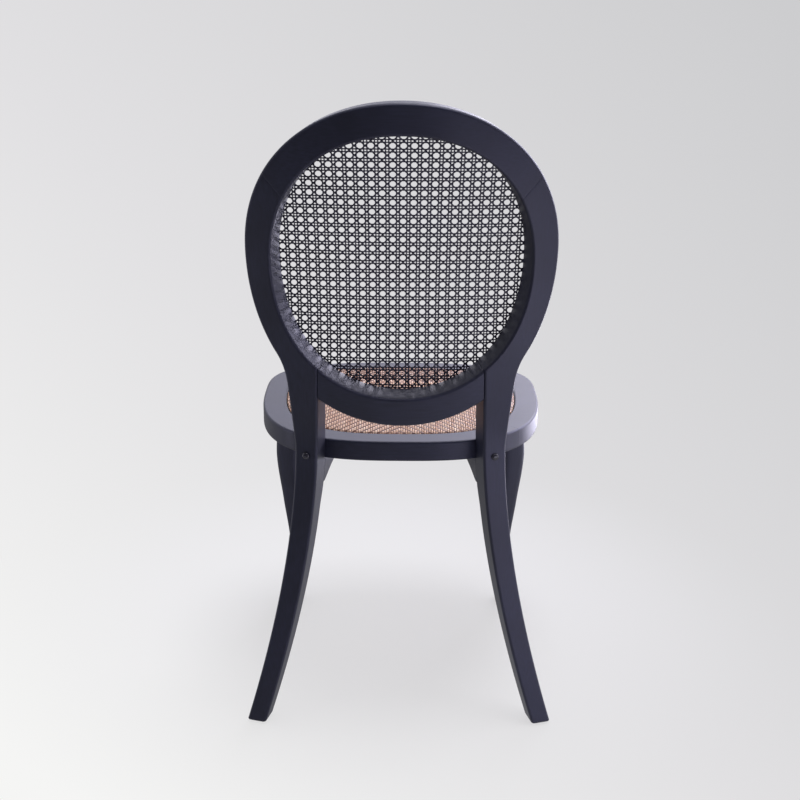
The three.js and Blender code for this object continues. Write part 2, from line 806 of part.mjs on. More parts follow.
// Front legs, with the screw, dowel and glide of each
for (const [name, side] of sides) {
  const sections = [];
  for (let i = 0; i <= frontLegSteps; i += 1) sections.push(frontLegSection(side, i / frontLegSteps));
  const top = mirrored(frontLegLine.getPoint(1), side);
  const screwStart = top.clone().add(point(side * legFixingShift, -legFixingSpacing / 2, 0));
  const pinStart = top.clone().add(point(side * legFixingShift, legFixingSpacing / 2, 0));
  screwStart.setZ(seatBottom - legScrewLength / 2);
  pinStart.setZ(seatBottom - legDowelLength / 2);
  const holes = [[screwStart, legScrewRadius, legScrewLength], [pinStart, dowelRadius, legDowelLength]].map(
    ([start, radius, length]) => rod(start.clone().addScaledVector(up, -clearance), up, radius + clearance,
      length + 2 * clearance),
  );
  addPiece(`front_leg_${name}`, cut(loft(sections), [...holes, glideHole(frontFoot(side))]), lacquer);
  addPiece(`front_leg_screw_${name}`, rod(screwStart, up, legScrewRadius, legScrewLength), steel);
  addPiece(`front_leg_dowel_${name}`, rod(pinStart, up, dowelRadius, legDowelLength), beech);
  addPiece(`front_glide_${name}`, glide(frontFoot(side)), nylon);
  ringCuts[name].push(...holes);
}

// Crest and lower rail
function bar(rungOf, steps, from, to, roundsAt) {
  const rings = [];
  for (let i = 0; i <= steps; i += 1) {
    const rung = rungOf(mix(from, to, i / steps));
    rings.push(barSection(rung.inner, rung.outer, roundsAt(rung.outer[1]), framePoint));
  }
  return loft(rings);
}

const crestGapShare = jointGap / (2 * outerHalfWidth);
const crest = bar(crestRung, crestSteps, crestGapShare, 1 - crestGapShare, crestRounds);
addPiece('crest_rail', cut(crest, crestCuts), lacquer);
addPiece('lower_back_rail', cut(bar(railRung, railSteps, 0, 1, () => plainRounds), railCuts), lacquer);

// Seat ring in four parts with a tongue at each joint
const tongueCuts = ringJointAngles.map((angle) => ringTongue(angle, clearance));
ringJointAngles.forEach((angle, index) => {
  addPiece(`ring_tongue_${index + 1}`, ringTongue(angle, 0), beech);
});
const screwsUnderBoard = boardScrews();
['rear', 'right', 'front', 'left'].forEach((name, index) => {
  const next = (index + 1) % ringJointAngles.length;
  const from = ringJointAngles[index];
  const to = ringJointAngles[next] < from ? ringJointAngles[next] + 2 * Math.PI : ringJointAngles[next];
  const holes = screwsUnderBoard.map(({ hole }) => hole);
  const tools = [...ringCuts[name], tongueCuts[index], tongueCuts[next], ...holes];
  addPiece(`seat_rail_${name}`, cut(ringRail(from, to), tools), lacquer);
});
screwsUnderBoard.forEach(({ screw, hole }, index) => {
  addPiece(`board_screw_${index + 1}`, screw, steel);
  boardCuts.push(hole);
});

// A flat or crowned disc that follows the seat outline: each row is a margin and a height
function seatDisc(rows) {
  return loft(rows.map(([margins, z]) => {
    const ring = [];
    for (let i = 0; i < seatOutlinePoints; i += 1) {
      ring.push(seatPoint((2 * Math.PI * i) / seatOutlinePoints, margins, z));
    }
    return ring;
  }));
}

// Rows that climb from an edge to the middle of a crowned top
function crownRows(margin, edgeHeight) {
  const rows = [];
  for (let i = 0; i <= crownSteps; i += 1) {
    const share = (crownReachShare * i) / crownSteps;
    const drawnIn = {
      side: mix(margin, seatHalfWidth, share),
      rear: mix(margin, seatRearReach, share),
      front: mix(margin, seatFrontReach, share),
    };
    rows.push([drawnIn, edgeHeight + seatCrown * (1 - (1 - share) ** crownPower)]);
  }
  return rows;
}

const boardBottom = ledgeTop + clearance;
const boardTop = boardBottom + boardThickness;
const weaveOuter = ringWidth + seatFitGap;
const weaveInner = weaveOuter + weaveThickness;
const boardMargin = weaveInner + clearance;
const board = seatDisc([[evenMargin(boardMargin), boardBottom], [evenMargin(boardMargin), boardTop]]);
addPiece('seat_board', cut(board, boardCuts), plywood);

const padBottom = boardTop + clearance;
const padEdgeTop = seatTop + weaveStandProud - weaveThickness - clearance;
const pad = seatDisc([[evenMargin(boardMargin), padBottom], ...crownRows(boardMargin, padEdgeTop)]);
addPiece('seat_pad', pad, foam);

const weaveUnder = crownRows(weaveInner, padEdgeTop + clearance).reverse();
const weaveOver = crownRows(weaveOuter, padEdgeTop + clearance + weaveThickness);
const weaveHem = [[evenMargin(weaveInner), padBottom], [evenMargin(weaveOuter), padBottom]];
addPiece('woven_seat', seatDisc([...weaveUnder, ...weaveHem, ...weaveOver]), rattan);

// Cane panel: a net on the curved back, with a solid rim that lies in the rebate in its front
function canePoint(place, behind) {
  return framePoint(place[0], place[1], frameDepth(place[1]) - behind + caneDraw(place));
}

// Canework is drawn tight across the curve, so its middle stands forward of the frame
function caneDraw(place) {
  const reach = place[1] > openingCentre ? openingTop - openingCentre : openingCentreRise;
  const sideways = place[0] / openingHalfWidth;
  const upward = (place[1] - openingCentre) / reach;
  return caneForward * Math.max(1 - sideways ** 2 - upward ** 2, 0);
}

function caneLines(reach, centre) {
  const lines = [];
  const count = Math.floor((reach - caneRim) / canePitch);
  for (let k = -count; k <= count; k += 1) {
    lines.push(centre + k * canePitch - caneBar / 2, centre + k * canePitch + caneBar / 2);
  }
  return lines;
}

// Triangles between a stepped inner loop and a round outer one, always taking the shorter next crossing
function bandFaces(places, inner, outer) {
  const flat = (index) => new THREE.Vector2(places[index][0], places[index][1]);
  const distance = (a, b) => flat(a).distanceTo(flat(b));
  const turn = (a, b, c) => flat(b).sub(flat(a)).cross(flat(c).sub(flat(a)));
  const nearest = outer.reduce((best, index, i) => (
    distance(index, inner[0]) < distance(outer[best], inner[0]) ? i : best), 0);
  const faces = [];
  let i = 0;
  let k = 0;
  while (i < inner.length || k < outer.length) {
    const from = inner[i % inner.length];
    const onward = inner[(i + 1) % inner.length];
    const across = outer[(nearest + k) % outer.length];
    const beyond = outer[(nearest + k + 1) % outer.length];
    const canStep = i < inner.length && turn(from, across, onward) > 0;
    const canSwing = k < outer.length && turn(from, across, beyond) > 0;
    const isStep = canStep && (!canSwing || distance(onward, across) < distance(from, beyond));
    faces.push(isStep ? [from, across, onward] : [from, across, beyond]);
    i += isStep ? 1 : 0;
    k += isStep ? 0 : 1;
  }
  return faces;
}

function caneGeometry() {
  const centre = (openingTop + openingBottom) / 2;
  const columns = caneLines(openingHalfWidth, 0);
  const rows = caneLines(openingTop - centre, centre);
  const isInside = (s, t) => {
    const reach = t > openingCentre ? openingTop - openingCentre : openingCentreRise;
    const across = Math.abs(s) / (openingHalfWidth - caneRim);
    const upward = Math.abs(t - openingCentre) / (reach - caneRim);
    return across ** openingSquareness + upward ** openingSquareness < 1;
  };
  const spot = (i, j) => [columns[i], rows[j]];
  const places = [];
  const placeIndex = new Map();
  const indexOf = (i, j) => {
    const key = `${i},${j}`;
    if (!placeIndex.has(key)) {
      placeIndex.set(key, places.length);
      places.push(spot(i, j));
    }
    return placeIndex.get(key);
  };
  const kept = new Set();
  for (let i = 1; i + 1 < columns.length; i += 2) {
    for (let j = 1; j + 1 < rows.length; j += 2) {
      const corners = [spot(i - 1, j - 1), spot(i + 2, j - 1), spot(i + 2, j + 2), spot(i - 1, j + 2)];
      if (corners.every(([s, t]) => isInside(s, t))) {
        for (let di = -1; di <= 1; di += 1) {
          for (let dj = -1; dj <= 1; dj += 1) kept.add(`${i + di},${j + dj}`);
        }
      }
    }
  }
  const flatFaces = [];
  const edges = new Map();
  const holeEdges = [];
  for (const key of kept) {
    const [i, j] = key.split(',').map(Number);
    const quad = [indexOf(i, j), indexOf(i + 1, j), indexOf(i + 1, j + 1), indexOf(i, j + 1)];
    const isHole = i % 2 === 1 && j % 2 === 1;
    quad.forEach((a, k) => {
      const b = quad[(k + 1) % quad.length];
      edges.set(`${a},${b}`, [a, b]);
      if (isHole) holeEdges.push([b, a]);
    });
    if (!isHole) flatFaces.push([quad[0], quad[1], quad[2]], [quad[0], quad[2], quad[3]]);
  }
  const onward = new Map();
  for (const [a, b] of edges.values()) if (!edges.has(`${b},${a}`)) onward.set(a, b);
  const start = onward.keys().next().value;
  const inner = [start];
  while (onward.get(inner.at(-1)) !== start) inner.push(onward.get(inner.at(-1)));
  const splineInnerMargin = rebateWidth - 2 * clearance - splineWidth;
  const rimAt = (margin) => Array.from({ length: caneEdgePoints }, (_, i) => {
    places.push(openingPlace((2 * Math.PI * i) / caneEdgePoints, margin));
    return places.length - 1;
  });
  const rim = rimAt(rebateWidth - 2 * clearance);
  const lip = rimAt(splineInnerMargin - clearance);
  rim.forEach((a, i) => {
    const k = (i + 1) % caneEdgePoints;
    flatFaces.push([a, rim[k], lip[k]], [a, lip[k], lip[i]]);
  });
  flatFaces.push(...bandFaces(places, inner, lip));
  const count = places.length;
  const low = rebateDepth - clearance;
  const points = [
    ...places.map((place) => canePoint(place, low)),
    ...places.map((place) => canePoint(place, low - caneThickness)),
  ];
  const faces = [];
  for (const [a, b, c] of flatFaces) faces.push(a, c, b, a + count, b + count, c + count);
  const rimEdges = rim.map((a, i) => [a, rim[(i + 1) % rim.length]]);
  for (const [a, b] of [...rimEdges, ...holeEdges]) faces.push(a, b, b + count, a, b + count, a + count);
  return geometryFrom(points, faces);
}

addPiece('back_cane', caneGeometry(), blackCane);
const splineLow = rebateDepth - clearance - caneThickness - clearance;
const splineTo = rebateWidth - 2 * clearance;
const splineFrom = splineTo - splineWidth;
const splineHigh = splineLow - splineThickness;
addPiece('cane_spline', openingBand(splineFrom, splineTo, splineLow, splineHigh, caneEdgePoints), blackCane);

// The model's own origin is the middle of its box at floor level
const box = new THREE.Box3().setFromObject(floorFrame);
chair.position.y = -(box.min.y + box.max.y) / 2;

export default floorFrame;
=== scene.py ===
import math

import bpy
import numpy as np
from mathutils import Matrix, Vector


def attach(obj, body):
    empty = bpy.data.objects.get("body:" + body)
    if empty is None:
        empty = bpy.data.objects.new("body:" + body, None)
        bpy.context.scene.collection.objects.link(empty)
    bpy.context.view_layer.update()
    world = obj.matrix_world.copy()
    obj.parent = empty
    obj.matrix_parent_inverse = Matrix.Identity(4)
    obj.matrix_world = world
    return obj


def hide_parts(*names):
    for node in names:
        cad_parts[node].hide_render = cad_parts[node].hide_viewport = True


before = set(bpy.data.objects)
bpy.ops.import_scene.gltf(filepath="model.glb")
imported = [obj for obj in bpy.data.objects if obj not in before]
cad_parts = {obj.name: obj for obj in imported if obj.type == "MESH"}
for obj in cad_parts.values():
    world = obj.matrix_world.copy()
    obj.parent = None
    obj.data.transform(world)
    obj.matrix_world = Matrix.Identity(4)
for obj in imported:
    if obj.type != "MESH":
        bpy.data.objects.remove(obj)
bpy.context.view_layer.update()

# Sizes in millimetres, in the seat plan's own frame; PLAN_SHIFT moves that frame to the part's.
PLAN_SHIFT = -116.346

# Seat ring
SEAT_TOP, SEAT_THICKNESS, SEAT_BOTTOM, LEDGE_TOP = 453.0, 31.5, 421.5, 433.5
SEAT_HALF_WIDTH, SEAT_REAR, SEAT_FRONT, SEAT_SQUARENESS = 232.0, 274.3, 150.5, 2.85
SEAT_TOP_ROUND, SEAT_LOWER_ROUND, RING_INNER_ROUND = 3.2, 2.5, 1.6
RING_WIDTH, LEDGE_WIDTH = 38.0, 14.0
RING_FLAT, RING_INNER_FLAT, RING_LOWER_FLAT = 0.7, 0.5, 0.6
LEDGE_FILLET, LEDGE_LIP, LEDGE_LOWER_LIP = 0.6, 0.4, 1.0
REAR_JOINT_X, FRONT_JOINT_X = 185.912, 118.0

# Open joints show as a line; seams are filled and hardly show
JOINT_GAP, JOINT_CHAMFER = 0.3, 0.45
SEAM_GAP, SEAM_CHAMFER = 0.05, 0.08

# Back frame
BACK_RADIUS, BACK_LEAN, LEAN_BLEND, BACK_BEHIND_SEAT = 500.0, math.radians(8), 40.0, 37.3
BACK_RISE, OVAL_TOP = 513.4, 966.4
OPENING_TOP, OPENING_CENTRE = 922.3, 739.0
OPENING_HALF_WIDTH, OPENING_CENTRE_RISE, OPENING_SQUARENESS = 192.0, 201.4, 2.12
OUTER_CENTRE, OUTER_DROP, OUTER_HALF_WIDTH, OUTER_SQUARENESS = 756.0, 259.0, 233.5, 2.06
CREST_JOINT_OUTER, CREST_JOINT_INNER, CREST_JOINT_DROP = 867.4, 832.3, 99.0
WAIST_HEIGHT, NECK_HEIGHT, NECK_FLARE = 599.6, 543.6, 9.0
RAIL_JOINT_TOP, RAIL_BOTTOM, RAIL_ARC_RADIUS = 579.6, 493.3, 222.0
CREST_DEPTH, POST_DEPTH, DEPTH_FALL_POWER = 26.0, 44.0, 1.6
ARRIS_ROUND, FRONT_ARRIS_ROUND, CREST_TOP_ROUND = 4.0, 5.0, 9.0
CORNER_FLAT, REBATE_EASE = 0.7, 1.5
REBATE_WIDTH, REBATE_DEPTH = 9.0, 5.0
CREST_LENGTH, OVAL_POST_LENGTH, RAIL_LENGTH = 560.0, 280.0, 250.0

# Rear legs
POST_INNER, POST_OUTER, POST_MIDDLE = 126.912, 162.912, 144.912
FOOT_SPLAY, SPLAY_POWER, FOOT_NARROWING = 84.5, 1.7, 2.5
FOOT_SWEEP, SWEEP_POWER, FOOT_DEPTH, FOOT_ROUND, GLIDE_HEIGHT = 46.0, 1.8, 37.0, 2.5, 3.0
LEG_INNER_ROUND = 7.0

# Front legs, as shares from foot to seat
FRONT_LEG_X, FRONT_LEG_Y, FRONT_TOP_SIZE = 184.0, -50.0, 46.0
FRONT_LEG_BOW, FRONT_LEG_SWEEP, FRONT_LEG_TOP = 21.0, 44.0, 421.2
FRONT_LEG_HEIGHTS = (0, 0.12, 0.3, 0.52, 0.74, 1)
FRONT_LEG_BOWS = (0.95, 0.46, 0.18, 0.48, 0.74, 0.1)
FRONT_LEG_SWEEPS = (1, 0.72, 0.42, 0.32, 0.3, 0)
FRONT_LEG_SIZES = (0.7, 0.62, 0.62, 0.78, 0.96, 1)
FRONT_LEG_TURN, FRONT_LEG_SQUARENESS, FRONT_FOOT_ROUND = math.radians(24), 3.6, 2

# Gussets and fixings
GUSSET_LENGTH, GUSSET_HEIGHT, GUSSET_TOE, GUSSET_TIP = 74.0, 40.0, 4.0, 6.0
GUSSET_BELLY_RISE, GUSSET_THICKNESS, GUSSET_ROUND, GUSSET_SEAT_ROUND = 4.0, 24.0, 1.0, 1.2
GUSSET_THICK_SHARE, GUSSET_FULL_INSET = 0.3, 12
CLEARANCE = 0.3
BOLT_HEAD_RADIUS, BOLT_HEAD_RISE, BOLT_RIM, BOLT_DIMPLE_TURN = 5.7, 3.5, 0.6, 0.12
BOLT_RADIUS, BOLT_LENGTH, BOLT_BELOW_SEAT = 3.0, 66.0, 15.5
GLIDE_RADIUS, GLIDE_ROUND = 10.0, 1.0

# Cane panel and its spline
CANE_BEHIND, CANE_FORWARD = 3.5, 11.0
CANE_PITCH_ACROSS, CANE_PITCH_UP = 15.79, 13.7
CANE_UPRIGHT_PAIR, CANE_LEVEL_PAIR = 2.35, 2.0
CANE_WIDTH, CANE_DIAGONAL_WIDTH, CANE_STRAND = 2.0, 2.15, 0.7
CANE_OVER, CANE_OVER_WIDTH, CANE_DIAGONAL_OVER, CANE_HEM = 0.42, 1.5, 0.78, 7.5
CANE_COLUMN_SHIFT, CANE_FADE_END, CANE_FADE_SPAN = -2.0, 1.03, 0.05
CANE_COUNT, CANE_RUN, CANE_DIAGONAL_COUNT, CANE_DIAGONAL_RUN = 16, 230, 34, 18
SPLINE_FROM, SPLINE_TO = 3.4, 8.4

# Woven seat
WEAVE_PITCH, WEAVE_WIDTH, WEAVE_STRAND, WEAVE_OVER = 3.65, 2.8, 0.9, 0.8
WEAVE_MARGIN, WEAVE_EDGE, SEAT_CROWN, CROWN_POWER = 39.0, 454.6, 11.0, 2.4
WEAVE_ROLL, WEAVE_HEM, WEAVE_STEEPNESS = 3.2, 8.0, 2.2
PAD_MARGIN, PAD_BOTTOM, PAD_EDGE_TOP, PAD_BULGE = 43.9, 443.1, 451.7, 1.6

# Steps of the grids
LEG_STEPS, NECK_STEPS, OVAL_STEPS, CREST_STEPS, RAIL_STEPS = 90, 70, 76, 170, 110
RING_STEPS, FRONT_LEG_STEPS, FRONT_LEG_SIDES, BELLY_STEPS = 240, 90, 56, 22
BOLT_SIDES, GLIDE_SIDES, SPLINE_STEPS, PAD_SIDES, PAD_RINGS = 36, 32, 300, 120, 26
RING_LEAST_STEPS, CANE_STEPS, CANE_DIAGONAL_STEPS, SHORTEST_STRAND = 24, 7, 10, 6
NEWTON_STEPS, NEWTON_SPAN, NEWTON_LIMIT = 6, 0.5, 20

# Studio, in metres; the camera is fitted to the photograph, behind the chair and a little above it
FLOOR_HALF = 150.0
FRONT_TINT, SHEEN_TINT = "#f0edff", "#ebe8ff"
SENSOR_MM, FOCAL_MM, SHIFT_X = 36, 56.02, -0.0009
CAMERA_BEHIND, CAMERA_HEIGHT = 1.93765, 1.1124
CAMERA_TILT, CAMERA_ROLL = math.radians(71.61), 0.0062


# Shapes

def super_share(share, squareness):
    """Superellipse: (1 - |share|^n)^(1/n)."""
    return (1 - np.minimum(np.abs(share), 1) ** squareness) ** (1 / squareness)


def eased(share):
    """Smooth step 3q^2 - 2q^3 between 0 and 1."""
    q = np.clip(share, 0, 1)
    return q * q * (3 - 2 * q)


def mix(a, b, share):
    """Straight blend from a to b."""
    return a + (b - a) * share


def drop_share(height):
    """0 at the seat's top and 1 at the floor."""
    return np.clip((SEAT_TOP - height) / SEAT_TOP, 0, 1)


def rear_line(height):
    """Rear face in side view: leans back at a constant slope above the seat, eased in over a parabola, and
    sweeps back as a power of the drop below it."""
    slope = math.tan(BACK_LEAN)
    rise = height - SEAT_TOP
    start = SEAT_REAR + BACK_BEHIND_SEAT + slope * LEAN_BLEND / 2
    bend = slope * np.clip(rise, 0, LEAN_BLEND) ** 2 / (2 * LEAN_BLEND)
    straight = slope * np.maximum(rise - LEAN_BLEND, 0)
    return start + bend + straight + FOOT_SWEEP * drop_share(height) ** SWEEP_POWER


def frame_depth(height):
    """Depth of the frame: thins upwards by a power of the rise, and a little towards the foot."""
    rise = np.clip((height - SEAT_TOP) / BACK_RISE, 0, 1)
    above = mix(POST_DEPTH, CREST_DEPTH, rise ** DEPTH_FALL_POWER)
    return np.where(height > SEAT_TOP, above, mix(POST_DEPTH, FOOT_DEPTH, drop_share(height)))


def frame_point(sideways, height, depth):
    """Back frame: sideways wraps round an upright cylinder whose rearmost line is rear_line, and depth
    runs forward along its radius, tilted with the lean."""
    tilt = BACK_LEAN * eased((height - SEAT_TOP) / LEAN_BLEND)
    angle = sideways / BACK_RADIUS
    radius = BACK_RADIUS - depth * np.cos(tilt)
    y = rear_line(height) - BACK_RADIUS + radius * np.cos(angle)
    return np.stack(np.broadcast_arrays(radius * np.sin(angle), y, height + depth * np.sin(tilt)), axis=-1)


def post_point(sideways, height, depth):
    """Rear post: the frame's place at the seat, moved out bodily by the splay below it."""
    splay = FOOT_SPLAY * drop_share(height) ** SPLAY_POWER
    place = frame_point(sideways - splay, height, depth)
    place[..., 0] += splay
    return place


def outer_edge(height):
    """Outer edge of the oval at a height, a superellipse above and below its centre."""
    above = (height - OUTER_CENTRE) / (OVAL_TOP - OUTER_CENTRE)
    below = (OUTER_CENTRE - height) / OUTER_DROP
    return OUTER_HALF_WIDTH * super_share(np.where(height > OUTER_CENTRE, above, below), OUTER_SQUARENESS)


def inner_edge(height):
    """Edge of the opening at a height, a superellipse above and below its centre."""
    above = (height - OPENING_CENTRE) / (OPENING_TOP - OPENING_CENTRE)
    below = (OPENING_CENTRE - height) / OPENING_CENTRE_RISE
    share = np.where(height > OPENING_CENTRE, above, below)
    return OPENING_HALF_WIDTH * super_share(share, OPENING_SQUARENESS)


def post_outer_edge(height):
    """Outer edge of the post: splayed leg, straight neck, a cubic waist, then the oval."""
    drop = drop_share(height)
    leg = POST_OUTER + FOOT_SPLAY * drop ** SPLAY_POWER - FOOT_NARROWING * drop
    neck_slope = NECK_FLARE / (NECK_HEIGHT - SEAT_TOP)
    neck = POST_OUTER + neck_slope * (height - SEAT_TOP)
    span = WAIST_HEIGHT - NECK_HEIGHT
    q = np.clip((height - NECK_HEIGHT) / span, 0, 1)
    waist_slope = (outer_edge(np.float64(WAIST_HEIGHT + 3)) - outer_edge(np.float64(WAIST_HEIGHT))) / 3
    waist = ((POST_OUTER + NECK_FLARE) * (2 * q ** 3 - 3 * q ** 2 + 1)
             + outer_edge(np.float64(WAIST_HEIGHT)) * (3 * q ** 2 - 2 * q ** 3)
             + span * (neck_slope * (q ** 3 - 2 * q ** 2 + q) + waist_slope * (q ** 3 - q ** 2)))
    return np.select([height <= SEAT_TOP, height <= NECK_HEIGHT, height < WAIST_HEIGHT],
                     [leg, neck, waist], outer_edge(height))


def post_inner_edge(height):
    """Inner edge of the post: splayed leg, then a straight run out to the opening's edge."""
    drop = drop_share(height)
    leg = POST_INNER + FOOT_SPLAY * drop ** SPLAY_POWER + FOOT_NARROWING * drop
    reach = inner_edge(np.float64(RAIL_JOINT_TOP))
    above = mix(POST_INNER, reach, (height - SEAT_TOP) / (RAIL_JOINT_TOP - SEAT_TOP))
    return np.where(height <= SEAT_TOP, leg, above)


def notch_width(inner, outer):
    """How far the cane's rebate reaches into a bar, found by Newton steps on the superellipse that lies
    REBATE_WIDTH outside the opening."""
    across = np.hypot(*(outer - inner).T)

    def excess(w):
        spot = inner + (outer - inner) * (w / across)[:, None]
        above = spot[:, 1] > OPENING_CENTRE
        reach = np.where(above, OPENING_TOP - OPENING_CENTRE, OPENING_CENTRE_RISE) + REBATE_WIDTH
        upward = np.abs(spot[:, 1] - OPENING_CENTRE) / reach
        sideways = np.abs(spot[:, 0]) / (OPENING_HALF_WIDTH + REBATE_WIDTH)
        return sideways ** OPENING_SQUARENESS + upward ** OPENING_SQUARENESS - 1

    w = np.full(len(inner), REBATE_WIDTH)
    for _ in range(NEWTON_STEPS):
        slope = (excess(w + NEWTON_SPAN) - excess(w - NEWTON_SPAN)) / (2 * NEWTON_SPAN)
        w = np.clip(w - excess(w) / slope, -NEWTON_LIMIT, NEWTON_LIMIT)
    return np.maximum(w, 0)


def arris_rounds(count, **others):
    """Radii along a bar's corners: the frame's usual ones, apart from those given."""
    usual = {"rear": ARRIS_ROUND, "outer_front": FRONT_ARRIS_ROUND, "inner_front": ARRIS_ROUND}
    return {corner: np.broadcast_to(radius, (count,)) for corner, radius in (usual | others).items()}


def bar_rings(inner, outer, rounds, place, margin):
    """A bar's sections between two edge lines: each corner is a quarter circle with a short flat before
    and after it, and the inner front corner is stepped where the cane's rebate runs."""
    across = np.hypot(*(outer - inner).T)
    notch = notch_width(inner, outer)
    stepped = eased(notch / REBATE_EASE)
    corners = (
        (margin, 0.0, "rear", (-1, -1)),
        (across - margin, 0.0, "rear", (1, -1)),
        (across - margin, 1.0, "outer_front", (1, 1)),
        (margin, 1.0, "inner_front", (-1, 1)),
    )
    # the rebate's arris, wall, floor and lip, as distances from the inner edge and from the front face
    shelf = REBATE_DEPTH
    step = (
        (notch + 1.2, 0), (notch + 0.3, 0), (notch, -0.3), (notch, -shelf + 0.2),
        (notch - 0.2, -shelf), (0.9, -shelf), (0.25, -shelf - 0.25), (0, -shelf - 0.9),
    )
    columns = []
    for index, (w, share, kind, (across_sign, depth_sign)) in enumerate(corners):
        r = rounds[kind]
        turns = [math.pi / 2 * (index + i / 5) for i in range(6)]
        arc = [(w - r * across_sign - r * math.cos(t), -r * depth_sign - r * math.sin(t)) for t in turns]
        before = (-math.sin(turns[0]), math.cos(turns[0]))
        after = (math.sin(turns[-1]), -math.cos(turns[-1]))
        first = (arc[0][0] + CORNER_FLAT * before[0], arc[0][1] + CORNER_FLAT * before[1])
        last = (arc[-1][0] + CORNER_FLAT * after[0], arc[-1][1] + CORNER_FLAT * after[1])
        for k, (across_at, inward) in enumerate([first, *arc, last]):
            if kind == "inner_front":
                across_at = mix(across_at, step[k][0], stepped)
                inward = mix(inward, step[k][1], stepped)
            q = across_at / across
            height = mix(inner[:, 1], outer[:, 1], q)
            sideways = mix(inner[:, 0], outer[:, 0], q)
            depth = mix(margin, frame_depth(height) - margin, share) + inward
            columns.append(place(sideways, height, depth))
    return np.stack(columns, axis=1)


def end_levels(levels, chamfer):
    """Parameter values from 0 to 1 with a chamfer's step at each end, and the margin at each."""
    shares = np.concatenate([[0, chamfer], np.linspace(0, 1, levels)[1:-1], [1 - chamfer, 1]])
    margin = np.zeros(len(shares))
    margin[[0, -1]] = 1
    return shares, margin


def rear_leg_rings():
    """Rear leg from foot to crest joint: sections at level heights up to the rail joint, then on slanting
    lines from the opening's edge to the oval's outer edge."""
    turn = np.linspace(0, math.pi / 2, 6)
    foot = GLIDE_HEIGHT + FOOT_ROUND * (1 - np.cos(turn))
    low = np.concatenate([foot, np.linspace(foot[-1], SEAT_BOTTOM, LEG_STEPS)[1:],
                          np.linspace(SEAT_BOTTOM, RAIL_JOINT_TOP, NECK_STEPS)[1:]])
    foot_margin = np.concatenate([FOOT_ROUND * (1 - np.sin(turn)), np.zeros(len(low) - len(turn))])
    q = np.concatenate([np.linspace(0, 1, OVAL_STEPS)[1:-1], [1 - JOINT_CHAMFER / OVAL_POST_LENGTH, 1]])
    inner_height = np.concatenate([low, mix(RAIL_JOINT_TOP, CREST_JOINT_INNER, q)])
    outer_height = np.concatenate([low, mix(RAIL_JOINT_TOP, CREST_JOINT_OUTER, q)])
    margin = np.concatenate([foot_margin, np.zeros(len(q))])
    margin[-1] = SEAM_CHAMFER
    oval = np.arange(len(inner_height)) >= len(low)
    inner_side = np.where(oval, inner_edge(inner_height), post_inner_edge(inner_height))
    inner = np.stack([inner_side, inner_height], 1)
    outer = np.stack([post_outer_edge(outer_height), outer_height], 1)
    beside_gusset = eased((SEAT_TOP - inner_height) / SEAT_THICKNESS)
    below_gusset = eased((SEAT_BOTTOM - GUSSET_HEIGHT - inner_height) / GUSSET_HEIGHT)
    inner_front = mix(mix(ARRIS_ROUND, GUSSET_SEAT_ROUND, beside_gusset), LEG_INNER_ROUND, below_gusset)
    rounds = arris_rounds(len(margin), inner_front=inner_front)
    return bar_rings(inner, outer, rounds, post_point, margin)


def crest_rail_rings():
    """Crest rail over the top: both edges run at even turns of their superellipses."""
    shares, ends = end_levels(CREST_STEPS, JOINT_CHAMFER / CREST_LENGTH)
    gap = SEAM_GAP / (2 * OUTER_HALF_WIDTH)
    shares = mix(gap, 1 - gap, shares)
    outer_turn = math.asin(outer_edge(np.float64(CREST_JOINT_OUTER)) / OUTER_HALF_WIDTH)
    inner_turn = math.asin(inner_edge(np.float64(CREST_JOINT_INNER)) / OPENING_HALF_WIDTH)
    outer_share = np.sin(outer_turn * (1 - 2 * shares))
    inner_share = np.sin(inner_turn * (1 - 2 * shares))
    outer_height = mix(OUTER_CENTRE, OVAL_TOP, super_share(outer_share, OUTER_SQUARENESS))
    inner_height = mix(OPENING_CENTRE, OPENING_TOP, super_share(inner_share, OPENING_SQUARENESS))
    inner = np.stack([OPENING_HALF_WIDTH * inner_share, inner_height], 1)
    outer = np.stack([OUTER_HALF_WIDTH * outer_share, outer_height], 1)
    top_share = eased((outer_height - CREST_JOINT_OUTER) / CREST_JOINT_DROP)
    rounds = arris_rounds(len(shares), outer_front=mix(FRONT_ARRIS_ROUND, CREST_TOP_ROUND, top_share))
    return bar_rings(inner, outer, rounds, frame_point, ends * SEAM_CHAMFER)


def back_rail_rings():
    """Lower back rail: its top follows the opening and its bottom a circular arc."""
    shares, ends = end_levels(RAIL_STEPS, JOINT_CHAMFER / RAIL_LENGTH)

    def arc_height(reach):
        return RAIL_BOTTOM + RAIL_ARC_RADIUS - np.sqrt(RAIL_ARC_RADIUS ** 2 - reach ** 2)

    q = 1 - 2 * shares
    upper = q * (inner_edge(np.float64(RAIL_JOINT_TOP)) - JOINT_GAP)
    lower = q * (post_inner_edge(arc_height(np.float64(POST_INNER))) - JOINT_GAP)
    drop = super_share(upper / OPENING_HALF_WIDTH, OPENING_SQUARENESS)
    upper_height = OPENING_CENTRE - OPENING_CENTRE_RISE * drop
    inner = np.stack([upper, upper_height], 1)
    outer = np.stack([lower, arc_height(lower)], 1)
    return bar_rings(inner, outer, arris_rounds(len(shares)), frame_point, ends * JOINT_CHAMFER)


def seat_point(angle, margin, z):
    """Seat outline: a superellipse drawn in by a margin, with its own reach to the rear and the front."""
    c, s = np.cos(angle), np.sin(angle)
    power = 2 / SEAT_SQUARENESS
    reach = np.where(s > 0, SEAT_REAR, SEAT_FRONT) - margin
    x = (SEAT_HALF_WIDTH - margin) * np.sign(c) * np.abs(c) ** power
    y = reach * np.sign(s) * np.abs(s) ** power
    return np.stack(np.broadcast_arrays(x, y, z), axis=-1)


